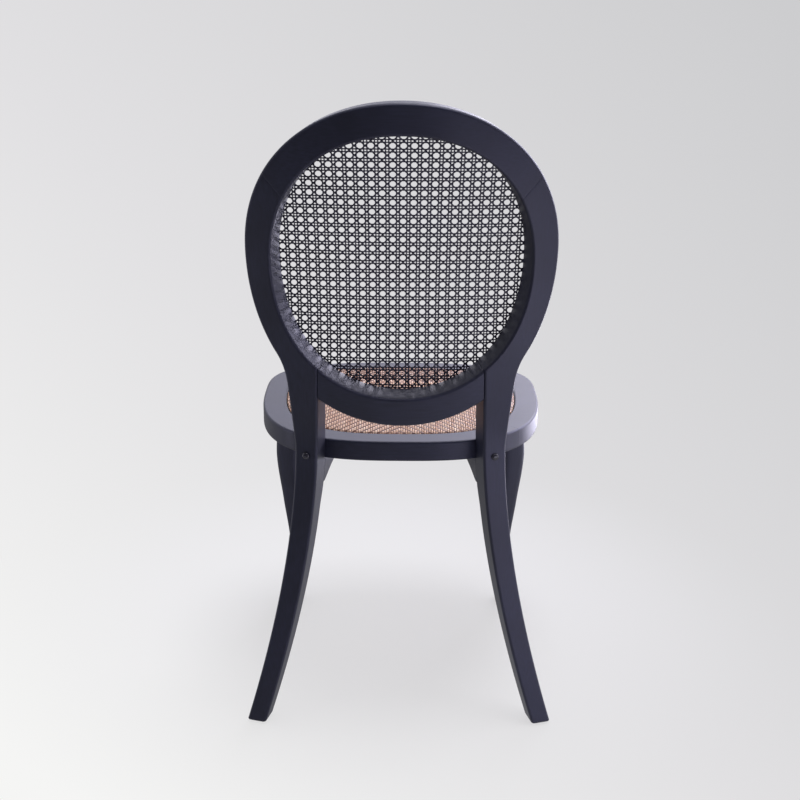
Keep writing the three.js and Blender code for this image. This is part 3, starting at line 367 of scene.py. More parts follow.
def quarter(centre_margin, centre_z, radius, start, steps=6):
    """A quarter circle in the ring's section, from a start turn, as margins and heights."""
    turn = start + np.linspace(0, math.pi / 2, steps)
    return np.stack([centre_margin + radius * np.cos(turn), centre_z + radius * np.sin(turn)], 1)


def ring_rail_rings(start, end):
    """Seat rail: a rectangular section with a rounded top and lower edge and a ledge inside. The inner
    upper edge is a small cove under a thin lip, which widens the dark line beside the weave."""
    r, low, inner, side = SEAT_TOP_ROUND, SEAT_LOWER_ROUND, RING_INNER_ROUND, RING_WIDTH
    ledge = RING_WIDTH + LEDGE_WIDTH
    section = np.concatenate([
        [[0, SEAT_TOP - r - RING_FLAT]],
        quarter(r, SEAT_TOP - r, r, math.pi / 2)[::-1],
        [[r + RING_FLAT, SEAT_TOP], [side - inner - RING_INNER_FLAT, SEAT_TOP]],
        quarter(side - inner, SEAT_TOP - inner, inner, math.pi / 2),
        [[side, SEAT_TOP - inner - RING_INNER_FLAT],
         [side, LEDGE_TOP + LEDGE_FILLET], [side + LEDGE_FILLET, LEDGE_TOP],
         [ledge - LEDGE_LIP, LEDGE_TOP], [ledge, LEDGE_TOP - LEDGE_LIP],
         [ledge, SEAT_BOTTOM + LEDGE_LOWER_LIP], [ledge - LEDGE_LOWER_LIP, SEAT_BOTTOM],
         [low + RING_LOWER_FLAT, SEAT_BOTTOM]],
        quarter(low, SEAT_BOTTOM + low, low, math.pi)[::-1],
        [[0, SEAT_BOTTOM + low + RING_LOWER_FLAT]],
    ])
    gap = SEAM_GAP / 2 / SEAT_HALF_WIDTH
    count = max(RING_LEAST_STEPS, int(RING_STEPS * (end - start) / (2 * math.pi)))
    step = SEAM_CHAMFER / SEAT_HALF_WIDTH
    angles = np.concatenate([[start + gap, start + gap + step],
                             np.linspace(start + gap, end - gap, count)[1:-1],
                             [end - gap - step, end - gap]])
    inset = np.zeros((len(angles), 1, 1))
    inset[[0, -1]] = SEAM_CHAMFER
    drawn = section - np.clip(section - section.mean(0), -1, 1) * inset
    return seat_point(angles[:, None], drawn[..., 0], drawn[..., 1])


def smooth_line(points, shares):
    """Centripetal Catmull-Rom curve through points at even parameter steps, as a cubic in each span."""
    points = np.asarray(points, float)
    padded = np.concatenate([[2 * points[0] - points[1]], points, [2 * points[-1] - points[-2]]])
    spans = len(points) - 1
    at = np.clip(shares * spans, 0, spans - 1e-9)
    index = np.floor(at).astype(int)
    t = (at - index)[:, None]
    p0, p1, p2, p3 = (padded[index + k] for k in range(4))
    d0, d1, d2 = (np.sqrt(np.linalg.norm(b - a, axis=1))[:, None]
                  for a, b in ((p0, p1), (p1, p2), (p2, p3)))
    d1 = np.where(d1 < 1e-4, 1, d1)
    d0 = np.where(d0 < 1e-4, d1, d0)
    d2 = np.where(d2 < 1e-4, d1, d2)
    m1 = ((p1 - p0) / d0 - (p2 - p0) / (d0 + d1) + (p2 - p1) / d1) * d1
    m2 = ((p2 - p1) / d1 - (p3 - p1) / (d1 + d2) + (p3 - p2) / d2) * d1
    return (p1 + m1 * t + (-3 * p1 + 3 * p2 - 2 * m1 - m2) * t ** 2
            + (2 * p1 - 2 * p2 + m1 + m2) * t ** 3)


def front_leg_rings():
    """Front leg: a superellipse section, turned about the upright axis, carried along a bowed line."""
    turn = np.linspace(0, math.pi / 2, 6)
    shares = np.linspace(0, 1, FRONT_LEG_STEPS)
    heights = np.interp(FRONT_LEG_HEIGHTS, (0, 1), (GLIDE_HEIGHT, FRONT_LEG_TOP))
    line = np.stack([FRONT_LEG_X + FRONT_LEG_BOW * np.array(FRONT_LEG_BOWS),
                     FRONT_LEG_Y - FRONT_LEG_SWEEP * np.array(FRONT_LEG_SWEEPS), heights], 1)
    centre = smooth_line(line, shares)
    half = smooth_line(FRONT_TOP_SIZE * np.array(FRONT_LEG_SIZES)[:, None], shares)[:, 0] / 2
    foot = np.repeat(centre[:1], len(turn), axis=0)
    foot[:, 2] += FRONT_FOOT_ROUND * (1 - np.cos(turn))
    centre = np.concatenate([foot, centre[2:]])
    half = np.concatenate([half[0] - FRONT_FOOT_ROUND * (1 - np.sin(turn)), half[2:]])
    angle = np.linspace(0, 2 * math.pi, FRONT_LEG_SIDES, endpoint=False)[None]
    power = 2 / FRONT_LEG_SQUARENESS
    x = half[:, None] * np.sign(np.cos(angle)) * np.abs(np.cos(angle)) ** power
    y = half[:, None] * np.sign(np.sin(angle)) * np.abs(np.sin(angle)) ** power
    c, s = math.cos(-FRONT_LEG_TURN), math.sin(-FRONT_LEG_TURN)
    turned_x, turned_y = x * c - y * s, x * s + y * c
    z = np.broadcast_to(centre[:, 2:3], x.shape)
    return np.stack([centre[:, 0:1] + turned_x, centre[:, 1:2] + turned_y, z], -1)


def bolt_line():
    """Where the bolt's head sits on the post's rear face, and its way into the ring."""
    height = np.float64(SEAT_TOP - BOLT_BELOW_SEAT)
    head = post_point(POST_MIDDLE, height, 0.0)
    inside = post_point(POST_MIDDLE, height, POST_DEPTH)
    return head, (inside - head) / np.linalg.norm(inside - head)


def gusset_rings():
    """Gusset: its side outline, with a hollow belly curve, carried across its thickness and rounded off at
    both side faces by a quarter circle."""
    top = SEAT_BOTTOM - CLEARANCE
    q = np.linspace(0, 1, BELLY_STEPS)
    belly = mix(GUSSET_HEIGHT, GUSSET_TIP, q) - GUSSET_BELLY_RISE * np.sin(math.pi * q)
    reach = mix(GUSSET_TOE, GUSSET_LENGTH, q)
    outline = np.concatenate([[[0, top], [0, top - GUSSET_HEIGHT]], np.stack([reach, top - belly], 1),
                              [[GUSSET_LENGTH, top]]])
    turn = np.linspace(0, math.pi / 2, 5)
    inset = GUSSET_ROUND * (1 - np.sin(turn))
    offset = GUSSET_ROUND * (1 - np.cos(turn))
    insets = np.concatenate([inset, inset[::-1]])
    offsets = np.concatenate([offset, GUSSET_THICKNESS - offset[::-1]])
    # the side faces' edges draw in towards the thick corner, and not where the gusset meets leg and ring
    centre = np.array([GUSSET_LENGTH * GUSSET_THICK_SHARE, top - GUSSET_HEIGHT * GUSSET_THICK_SHARE])
    away = np.clip((outline - centre) / GUSSET_FULL_INSET, -1, 1)
    away[:, 1] = np.where(outline[:, 1] > top - 0.1, 0, away[:, 1])
    away[:, 0] = np.where(outline[:, 0] < 0.1, 0, away[:, 0])
    drawn = outline[None] - away[None] * insets[:, None, None]
    _, along = bolt_line()
    across = np.array([-along[1], along[0], 0])
    height = drawn[..., 1]
    start = post_point(post_inner_edge(height), height, frame_depth(height) + CLEARANCE)
    spot = start + drawn[..., :1] * along + offsets[:, None, None] * across
    spot[..., 2] = height
    return spot


def lathe_rings(start, along, profile, sides):
    """Turned piece: a profile of radii and distances revolved about a line."""
    along = np.asarray(along, float)
    helper = np.array([0, 0, 1.0]) if abs(along[2]) < 0.9 else np.array([1.0, 0, 0])
    first = np.cross(helper, along)
    first /= np.linalg.norm(first)
    second = np.cross(along, first)
    angle = np.linspace(0, 2 * math.pi, sides, endpoint=False)
    wheel = np.cos(angle)[:, None] * first + np.sin(angle)[:, None] * second
    profile = np.asarray(profile, float)
    return start + profile[:, 0, None, None] * wheel[None] + profile[:, 1, None, None] * along


def bolt_rings():
    """Bolt: a domed head with a dimple, then its shank."""
    head, along = bolt_line()
    turn = np.linspace(BOLT_DIMPLE_TURN, math.pi / 2, 9)
    rise = -CLEARANCE - BOLT_RIM - (BOLT_HEAD_RISE - BOLT_RIM) * np.cos(turn)
    profile = np.concatenate([
        [[0.3, -BOLT_HEAD_RISE - CLEARANCE + 0.05]],
        np.stack([BOLT_HEAD_RADIUS * np.sin(turn), rise], 1),
        [[BOLT_HEAD_RADIUS, -CLEARANCE - 0.2], [BOLT_HEAD_RADIUS - 0.2, -CLEARANCE],
         [BOLT_RADIUS, -CLEARANCE], [BOLT_RADIUS, BOLT_LENGTH - 0.5],
         [BOLT_RADIUS - 0.5, BOLT_LENGTH], [0.3, BOLT_LENGTH]],
    ])
    return lathe_rings(head, along, profile, BOLT_SIDES)


def glide_rings(foot):
    """Glide: a flat disc with a rounded rim, and its pin."""
    turn = np.linspace(-math.pi / 2, 0, 5)
    r = GLIDE_ROUND
    rim = np.stack([GLIDE_RADIUS - r + r * np.cos(turn), r + r * np.sin(turn)], 1)
    top = GLIDE_HEIGHT - CLEARANCE
    profile = np.concatenate([
        [[0.5, 0]], rim,
        [[GLIDE_RADIUS, top - 0.3], [GLIDE_RADIUS - 0.3, top], [1.5, top], [1.5, 15.5], [0.3, 17]],
    ])
    return lathe_rings(foot, (0, 0, 1), profile, GLIDE_SIDES)


def rear_foot():
    """Middle of the rear foot, on the floor."""
    height = np.float64(GLIDE_HEIGHT)
    middle = POST_MIDDLE + FOOT_SPLAY * drop_share(height) ** SPLAY_POWER
    place = post_point(middle, height, FOOT_DEPTH / 2)
    return np.array([place[0], place[1], 0])


def front_foot():
    """Middle of the front foot, on the floor."""
    return np.array([FRONT_LEG_X + FRONT_LEG_BOW * FRONT_LEG_BOWS[0],
                     FRONT_LEG_Y - FRONT_LEG_SWEEP * FRONT_LEG_SWEEPS[0], 0])


def opening_place(angle, margin):
    """Sideways length and height on the opening's edge, moved outwards by a margin."""
    power = 2 / OPENING_SQUARENESS
    c, s = np.cos(angle), np.sin(angle)
    reach = np.where(s > 0, OPENING_TOP - OPENING_CENTRE, OPENING_CENTRE_RISE) + margin
    return ((OPENING_HALF_WIDTH + margin) * np.sign(c) * np.abs(c) ** power,
            OPENING_CENTRE + reach * np.sign(s) * np.abs(s) ** power)


def spline_rings():
    """Spline: a low rounded bead that fills the rebate's outer part all round the opening."""
    section = np.array([[SPLINE_FROM, 2.0], [SPLINE_FROM, 1.1], [3.7, 0.6], [4.3, 0.3], [5.1, 0.12],
                        [5.9, 0.05], [6.7, 0.12], [7.5, 0.3], [8.1, 0.6], [SPLINE_TO, 1.1],
                        [SPLINE_TO, 2.0]])
    angle = np.linspace(0, 2 * math.pi, SPLINE_STEPS, endpoint=False)[:, None]
    sideways, height = opening_place(angle, section[None, :, 0])
    return frame_point(sideways, height, frame_depth(height) - section[None, :, 1])


def cane_point(sideways, height, lift):
    """Cane surface: the curved frame, drawn forward in its middle by 1 - x^2 - z^2; lift goes back."""
    reach = np.where(height > OPENING_CENTRE, OPENING_TOP - OPENING_CENTRE, OPENING_CENTRE_RISE)
    share = (sideways / OPENING_HALF_WIDTH) ** 2 + ((height - OPENING_CENTRE) / reach) ** 2
    draw = CANE_FORWARD * np.maximum(1 - share, 0)
    return frame_point(sideways, height, frame_depth(height) - CANE_BEHIND + draw - lift)


def cane_strand(start, step, count, width, lift):
    """One flat cane strand: a section of six points carried along a straight line on the panel."""
    t = np.arange(count)[:, None]
    line = np.asarray(start) + t * np.asarray(step)
    way = np.asarray(step) / np.linalg.norm(step)
    side = np.array([-way[1], way[0]])
    half = CANE_STRAND / 2
    section = np.array([[-1, 0], [-0.62, half], [0.62, half], [1, 0], [0.62, -half], [-0.62, -half]])
    across = section[:, 0] * width / 2
    spots = line[:, None, :] + across[None, :, None] * side
    return cane_point(spots[..., 0], spots[..., 1], lift[:, None] + section[None, :, 1]), across


def inside_reach(sideways, height, margin):
    """Below 1 inside the opening moved outwards by a margin."""
    reach = np.where(height > OPENING_CENTRE, OPENING_TOP - OPENING_CENTRE, OPENING_CENTRE_RISE) + margin
    return ((np.abs(sideways) / (OPENING_HALF_WIDTH + margin)) ** OPENING_SQUARENESS
            + (np.abs(height - OPENING_CENTRE) / reach) ** OPENING_SQUARENESS)


def pair_wave(place, pitch, spacing, sign):
    """Over one strand of a pair and under the other: two opposite bell curves about each pair's middle."""
    u = (place / pitch - np.round(place / pitch)) * pitch
    over, under = (np.exp(-((u - side * spacing) / CANE_OVER_WIDTH) ** 2) for side in (1, -1))
    return sign * CANE_OVER * (over - under)


def cane_lines(kind):
    """All strands of one of the cane's four sets, cut where they end in the rebate under the spline."""
    strands = []
    across, up = CANE_PITCH_ACROSS, CANE_PITCH_UP
    x0, z0 = CANE_COLUMN_SHIFT, OPENING_CENTRE
    if kind in ("upright", "level"):
        pitch, other = (across, up) if kind == "upright" else (up, across)
        own, crossed = CANE_UPRIGHT_PAIR, CANE_LEVEL_PAIR
        if kind == "level":
            own, crossed = crossed, own
        for k in range(-CANE_COUNT, CANE_COUNT + 1):
            for side in (-1, 1):
                fixed = (k + 0.5) * pitch + side * own
                free = np.arange(-CANE_RUN, CANE_RUN, other / CANE_STEPS)
                wave = pair_wave(free - other / 2, other, crossed, side if kind == "upright" else -side)
                spots = np.stack(np.broadcast_arrays(x0 + fixed, z0 + free), 1)
                if kind == "level":
                    spots = np.stack(np.broadcast_arrays(x0 + free, z0 + fixed), 1)
                strands.append((spots, wave, CANE_WIDTH, k * 2 + side))
    else:
        lean = 1 if kind == "rising" else -1
        for k in range(-CANE_DIAGONAL_COUNT, CANE_DIAGONAL_COUNT + 1):
            q = np.arange(-CANE_DIAGONAL_RUN, CANE_DIAGONAL_RUN, 1 / CANE_DIAGONAL_STEPS)
            spots = np.stack([x0 + q * across, z0 + lean * (k + 0.5 - q) * -up], 1)
            wave = -lean * CANE_DIAGONAL_OVER * np.cos(2 * math.pi * q)
            strands.append((spots, wave, CANE_DIAGONAL_WIDTH, k))
    pieces = []
    for spots, wave, width, seed in strands:
        keep = np.flatnonzero(inside_reach(spots[:, 0], spots[:, 1], CANE_HEM) < 1)
        if len(keep) < SHORTEST_STRAND:
            continue
        keep = np.arange(keep[0], keep[-1] + 1)
        # the strands lie flat where they reach the frame
        inside = inside_reach(spots[keep, 0], spots[keep, 1], 0)
        fade = np.clip((CANE_FADE_END - inside) / CANE_FADE_SPAN, 0, 1)
        step = spots[1] - spots[0]
        grid, off = cane_strand(spots[keep[0]], step, len(keep), width, wave[keep] * fade)
        length = np.linalg.norm(step) * np.arange(len(keep))
        pieces.append((grid, length, off, seed))
    return pieces


def weave_reach(x, y, margin=0.0):
    """Superellipse distance of a place on the woven seat: 1 on its outline."""
    side = SEAT_HALF_WIDTH - WEAVE_MARGIN + margin
    reach = np.where(y > 0, SEAT_REAR, SEAT_FRONT) - WEAVE_MARGIN + margin
    total = (np.abs(x) / side) ** SEAT_SQUARENESS + (np.abs(y) / reach) ** SEAT_SQUARENESS
    return total ** (1 / SEAT_SQUARENESS)


def seat_surface(x, y, lift):
    """Woven seat: a crown 1 - r^p over the outline, whose edge turns down round a quarter circle."""
    r = weave_reach(x, y)
    away = np.hypot(x, y)
    edge = away / np.maximum(r, 1e-6)
    past = np.maximum(away - (edge - WEAVE_ROLL), 0)
    turn = np.minimum(past / WEAVE_ROLL, math.pi / 2)
    kept = np.minimum(away, edge - WEAVE_ROLL) + WEAVE_ROLL * np.sin(turn)
    down = WEAVE_ROLL * (1 - np.cos(turn)) + np.maximum(past - WEAVE_ROLL * math.pi / 2, 0)
    scale = np.where(away > 1e-6, kept / np.maximum(away, 1e-6), 1)
    crown = SEAT_CROWN * (1 - np.minimum(r, 1) ** CROWN_POWER)
    lift_in = lift * np.cos(turn)
    lift_out = np.minimum(lift, 0) * np.sin(turn)
    scale = scale + np.where(away > 1, lift_out / np.maximum(away, 1), 0)
    height = WEAVE_EDGE - WEAVE_STRAND - WEAVE_OVER + crown - down + lift_in
    return np.stack([x * scale, y * scale, height], -1)


def seat_strands(kind):
    """One set of the seat's peel: flat strands that pass over two and under two of the other set. Each
    one's wave, a sine cut off at both sides, is a step on from its neighbour's, and the step turns round
    at the middle lines."""
    pieces = []
    pitch = WEAVE_PITCH
    lean = 1 if kind == "warp" else -1
    reach = math.ceil(SEAT_REAR / pitch)
    free = np.arange(-reach, reach + 0.01, 0.5) * pitch
    section = np.array([[-1, 0], [-0.5, WEAVE_STRAND / 2], [0.5, WEAVE_STRAND / 2], [1, 0]])
    across = section[:, 0] * WEAVE_WIDTH / 2
    for k in range(-reach, reach):
        fixed = (k + 0.5) * pitch
        x, y = (fixed, free) if kind == "warp" else (free, fixed)
        keep = np.flatnonzero(weave_reach(x, y, WEAVE_HEM) < 1)
        if len(keep) < SHORTEST_STRAND:
            continue
        along = free[keep[0]:keep[-1] + 1][:, None]
        phase = lean * (np.abs(along / pitch) - np.abs(k + 0.5) + 0.5) / 4
        swing = WEAVE_STEEPNESS * np.sin(2 * math.pi * (phase + 0.125))
        wave = lean * np.clip(swing, -1, 1) * WEAVE_OVER
        x, y = (fixed + across, along) if kind == "warp" else (along, fixed + across)
        pieces.append((seat_surface(x, y, wave + section[:, 1]), along[:, 0], across, k))
    return pieces


def pad_rings():
    """Seat pad: the outline drawn in, with bulging sides and a crowned top, closed at the middle."""
    side_turn = np.linspace(-math.pi / 2, math.pi / 2, 9)
    height = PAD_EDGE_TOP - PAD_BOTTOM
    # the underside starts 60 mm further in, round the cap that closes it
    rows = [(PAD_MARGIN + 60, PAD_BOTTOM), (PAD_MARGIN, PAD_BOTTOM)]
    rows += [(PAD_MARGIN - PAD_BULGE * math.cos(t), PAD_BOTTOM + height * (0.5 + 0.5 * math.sin(t)))
             for t in side_turn[1:-1]]
    angle = np.linspace(0, 2 * math.pi, PAD_SIDES, endpoint=False)
    rings = [seat_point(angle, margin, z) for margin, z in rows]
    for share in np.linspace(0, 0.97, PAD_RINGS):
        crown = SEAT_CROWN * (1 - (1 - share) ** CROWN_POWER)
        ring = seat_point(angle, PAD_MARGIN, PAD_EDGE_TOP + crown)
        ring[:, :2] *= 1 - share
        ring[:, 2] -= 0.6 * share
        rings.append(ring)
    return np.array(rings)


# Meshes

def solid(name, parts, mirror=False, looped=False, sharp=35.0):
    """Closed skins over grids of rings; each part is a grid, or a grid with its strand's lengths, offsets
    and seed. The mesh is turned outwards by the sign of its volume."""
    points, quads, caps, marks = [], [], [], []
    first = 0
    for part in parts:
        grid, *strand = part if isinstance(part, tuple) else (part,)
        n, m = grid.shape[:2]
        points.append(grid.reshape(-1, 3))
        ring = np.arange(n if looped else n - 1)[:, None]
        rows, nexts = ring * m, (ring + 1) % n * m
        j = np.arange(m)[None]
        k = (j + 1) % m
        quads.append(np.stack([rows + j, rows + k, nexts + k, nexts + j], -1).reshape(-1, 4) + first)
        if not looped:
            caps.append(first + np.arange(m)[::-1])
            caps.append(first + (n - 1) * m + np.arange(m))
        if strand:
            length, offsets, seed = strand
            mark = np.zeros((n, m, 3))
            mark[..., 0], mark[..., 1] = length[:, None], offsets[None]
            mark[..., 2] = (seed * 37.7) % 101
            marks.append(mark.reshape(-1, 3))
        first += n * m
    co = np.concatenate(points)
    co[:, 1] += PLAN_SHIFT
    if mirror:
        co[:, 0] *= -1
    co /= 1000
    quads = np.concatenate(quads)
    a, b, c, d = (co[quads[:, i]] for i in range(4))
    middle = co.mean(0)
    volume = np.sum(np.cross(b - a, c - a) * (a - middle)) + np.sum(np.cross(c - a, d - a) * (a - middle))
    loops = quads.reshape(-1)
    sizes = np.full(len(quads), 4)
    if caps:
        loops = np.concatenate([loops, np.concatenate(caps)])
        sizes = np.concatenate([sizes, [len(cap) for cap in caps]])
    starts = np.concatenate([[0], np.cumsum(sizes)[:-1]])
    mesh = bpy.data.meshes.new(name)
    mesh.vertices.add(len(co))
    mesh.vertices.foreach_set("co", co.astype(np.float32).ravel())
    mesh.loops.add(len(loops))
    mesh.loops.foreach_set("vertex_index", loops.astype(np.int32))
    mesh.polygons.add(len(sizes))
    mesh.polygons.foreach_set("loop_start", starts.astype(np.int32))
    mesh.update(calc_edges=True)
    mesh.validate()
    if volume < 0:
        mesh.flip_normals()
    mesh.polygons.foreach_set("use_smooth", np.ones(len(sizes), bool))
    mesh.set_sharp_from_angle(angle=math.radians(sharp))
    if marks:
        held = mesh.attributes.new("strand_place", "FLOAT_VECTOR", "POINT")
        held.data.foreach_set("vector", np.concatenate(marks).astype(np.float32).ravel())
    thing = bpy.data.objects.new(name, mesh)
    bpy.context.scene.collection.objects.link(thing)
    return thing


# Materials

def linear(code):
    """sRGB hex to linear colour with alpha."""
    parts = [int(code[i:i + 2], 16) / 255 for i in (1, 3, 5)]
    return (*[p / 12.92 if p <= 0.04045 else ((p + 0.055) / 1.055) ** 2.4 for p in parts], 1.0)


def add(tree, kind, inputs=None, **settings):
    """Adds one node with its settings, values and links."""
    made = tree.nodes.new(kind)
    for key, value in settings.items():
        setattr(made, key, value)
    for key, value in (inputs or {}).items():
        if isinstance(value, bpy.types.NodeSocket):
            tree.links.new(value, made.inputs[key])
        else:
            made.inputs[key].default_value = value
    return made


def finish_named(name):
    """An empty node material and its tree."""
    material = bpy.data.materials.new(name)
    material.use_nodes = True
    material.node_tree.nodes.clear()
    return material, material.node_tree


def close(tree, shader):
    """Joins a shader to the material's output."""
    add(tree, "ShaderNodeOutputMaterial", {"Surface": shader.outputs[0]})


def black_lacquer_on_beech(name, scale):
    """Sprayed satin lacquer, blue-black, over beech: a soft sheen and faint streaks of the grain below."""
    material, tree = finish_named(name)
    place = add(tree, "ShaderNodeTexCoord")
    grain_map = add(tree, "ShaderNodeMapping", {"Vector": place.outputs["Object"], "Scale": scale})
    grain = add(tree, "ShaderNodeTexNoise", {"Vector": grain_map.outputs[0], "Scale": 1.0, "Detail": 4.0})
    # waves in the sprayed coat, 12 mm apart
    spot = place.outputs["Object"]
    wave = add(tree, "ShaderNodeTexNoise", {"Vector": spot, "Scale": 80.0, "Detail": 1.0})
    # slow changes of tone, 90 mm apart
    slow = add(tree, "ShaderNodeTexNoise", {"Vector": spot, "Scale": 11.0, "Detail": 2.0})
    tone = add(tree, "ShaderNodeMath", {0: grain.outputs[0], 1: slow.outputs[0]}, operation="MULTIPLY")
    colour = add(tree, "ShaderNodeValToRGB", {"Fac": tone.outputs[0]})
    colour.color_ramp.elements[0].position = 0.12
    colour.color_ramp.elements[0].color = linear("#121525")
    colour.color_ramp.elements[1].position = 0.42
    colour.color_ramp.elements[1].color = linear("#1e2136")
    rough = add(tree, "ShaderNodeMapRange", {"Value": grain.outputs[0], "To Min": 0.5, "To Max": 0.6})
    low = add(tree, "ShaderNodeBump", {"Height": wave.outputs[0], "Strength": 0.05, "Distance": 0.0006})
    bump = add(tree, "ShaderNodeBump", {"Height": grain.outputs[0], "Strength": 0.06, "Distance": 0.0002,
                                        "Normal": low.outputs[0]})
    shader = add(tree, "ShaderNodeBsdfPrincipled", {
        "Base Color": colour.outputs[0], "Roughness": rough.outputs[0], "IOR": 1.52,
        "Specular Tint": linear("#dcdaf6"), "Coat Weight": 0.15, "Coat Roughness": 0.26,
        "Normal": bump.outputs[0]})
    close(tree, shader)
    return material


def strand_nodes(tree, fine, long):
    """Noise along a strand, from its own length, offset and seed: fibres of a width and a length in mm,
    and slow changes of tone 60 mm long, which differ from strand to strand."""
    own = add(tree, "ShaderNodeAttribute", attribute_name="strand_place")
    stretched = add(tree, "ShaderNodeMapping", {"Vector": own.outputs["Vector"],
                                                "Scale": (1 / long, 1 / fine, 1.0)})
    fibre = add(tree, "ShaderNodeTexNoise", {"Vector": stretched.outputs[0], "Scale": 1.0, "Detail": 3.0})
    patch_map = add(tree, "ShaderNodeMapping", {"Vector": own.outputs["Vector"],
                                                "Scale": (1 / 60, 1 / 30, 1.7)})
    patch = add(tree, "ShaderNodeTexNoise", {"Vector": patch_map.outputs[0], "Scale": 1.0, "Detail": 1.0})
    return fibre, patch


def black_stained_cane():
    """Split cane stained black after weaving: a satin outer skin with fine lengthwise fibres."""
    material, tree = finish_named("black_stained_split_cane")
    fibre, patch = strand_nodes(tree, 0.35, 14)
    tone = add(tree, "ShaderNodeMath", {0: fibre.outputs[0], 1: patch.outputs[0]}, operation="MULTIPLY")
    colour = add(tree, "ShaderNodeValToRGB", {"Fac": tone.outputs[0]})
    colour.color_ramp.elements[0].position = 0.1
    colour.color_ramp.elements[0].color = linear("#211e33")
    colour.color_ramp.elements[1].position = 0.45
    colour.color_ramp.elements[1].color = linear("#37334d")
    bump = add(tree, "ShaderNodeBump", {"Height": fibre.outputs[0], "Strength": 0.25, "Distance": 0.0001})
    shader = add(tree, "ShaderNodeBsdfPrincipled", {
        "Base Color": colour.outputs[0], "Roughness": 0.42, "IOR": 1.5, "Normal": bump.outputs[0]})
    close(tree, shader)
    return material


def natural_rattan_peel(name, dark, middle, light):
    """Natural rattan peel, woven flat with its glossy skin outwards: each strand a little different, with
    lengthwise fibres and slow changes from dark to light."""
    material, tree = finish_named(name)
    fibre, patch = strand_nodes(tree, 0.5, 25)
    tone = add(tree, "ShaderNodeMath", {0: fibre.outputs[0], 1: patch.outputs[0]}, operation="ADD")
    share = add(tree, "ShaderNodeMapRange", {"Value": tone.outputs[0], "From Min": 0.62, "From Max": 1.32})
    colour = add(tree, "ShaderNodeValToRGB", {"Fac": share.outputs[0]})
    colour.color_ramp.elements[0].color = linear(dark)
    colour.color_ramp.elements[1].color = linear(light)
    colour.color_ramp.elements.new(0.5).color = linear(middle)
    bump = add(tree, "ShaderNodeBump", {"Height": fibre.outputs[0], "Strength": 0.3, "Distance": 0.00015})
    shader = add(tree, "ShaderNodeBsdfPrincipled", {
        "Base Color": colour.outputs[0], "Roughness": 0.4, "IOR": 1.5, "Normal": bump.outputs[0]})
    close(tree, shader)
    return material


def covered_foam():
    """Polyurethane foam in a dark brown cotton lining: matt, with a fine thread texture. Its dark tone is
    partly painted shade, standing in for the shade in the gaps of the weave above it.
    """
    material, tree = finish_named("seat_foam_lining_partly_painted_shade")
    place = add(tree, "ShaderNodeTexCoord")
    # threads 2.4 mm apart, coarser than real lining so that they show
    threads = add(tree, "ShaderNodeTexWave", {"Vector": place.outputs["Object"], "Scale": 130.0,
                                              "Distortion": 0.4}, wave_type="BANDS", bands_direction="X")
    # partly painted shade: the lining is drawn dark so that the gaps in the weave read as shaded
    colour = add(tree, "ShaderNodeValToRGB", {"Fac": threads.outputs[0]})
    colour.color_ramp.elements[0].color = linear("#26150f")
    colour.color_ramp.elements[1].color = linear("#35201a")
    bump = add(tree, "ShaderNodeBump", {"Height": threads.outputs[0], "Strength": 0.3, "Distance": 0.0003})
    shader = add(tree, "ShaderNodeBsdfPrincipled", {
        "Base Color": colour.outputs[0], "Roughness": 0.9, "Normal": bump.outputs[0]})
    close(tree, shader)
    return material


def wood(name, dark, light, scale, ring, rough):
    """Bare wood: long noise for the grain and slow bands for the rings, both in Object coordinates."""
    material, tree = finish_named(name)
    place = add(tree, "ShaderNodeTexCoord")
    mapped = add(tree, "ShaderNodeMapping", {"Vector": place.outputs["Object"], "Scale": scale})
    grain = add(tree, "ShaderNodeTexNoise", {"Vector": mapped.outputs[0], "Scale": 1.0, "Detail": 5.0})
    bands = add(tree, "ShaderNodeTexWave", {"Vector": mapped.outputs[0], "Scale": ring, "Distortion": 6.0,
                                            "Detail": 2.0}, wave_type="BANDS", bands_direction="X")
    tone = add(tree, "ShaderNodeMath", {0: grain.outputs[0], 1: bands.outputs[1]}, operation="ADD")
    colour = add(tree, "ShaderNodeValToRGB", {"Fac": tone.outputs[0]})
    colour.color_ramp.elements[0].position = 0.3
    colour.color_ramp.elements[0].color = linear(dark)
    colour.color_ramp.elements[1].color = linear(light)
    bump = add(tree, "ShaderNodeBump", {"Height": grain.outputs[0], "Strength": 0.2, "Distance": 0.0003})
    shader = add(tree, "ShaderNodeBsdfPrincipled", {
        "Base Color": colour.outputs[0], "Roughness": rough, "Normal": bump.outputs[0]})
    close(tree, shader)
    return material


def metal(name, tint, rough):
    """Plated metal: fine mottling in its tone and its roughness."""
    material, tree = finish_named(name)
    place = add(tree, "ShaderNodeTexCoord")
    # specks 1 mm across
    mottle = add(tree, "ShaderNodeTexNoise", {"Vector": place.outputs["Object"], "Scale": 900.0,
                                              "Detail": 2.0})
    spread = add(tree, "ShaderNodeMapRange", {"Value": mottle.outputs[0], "To Min": rough - 0.07,
                                              "To Max": rough + 0.07})
    colour = add(tree, "ShaderNodeValToRGB", {"Fac": mottle.outputs[0]})
    colour.color_ramp.elements[0].color = linear(tint[0])
    colour.color_ramp.elements[1].color = linear(tint[1])
    shader = add(tree, "ShaderNodeBsdfPrincipled", {
        "Base Color": colour.outputs[0], "Metallic": 1.0, "Roughness": spread.outputs[0]})
    close(tree, shader)
    return material


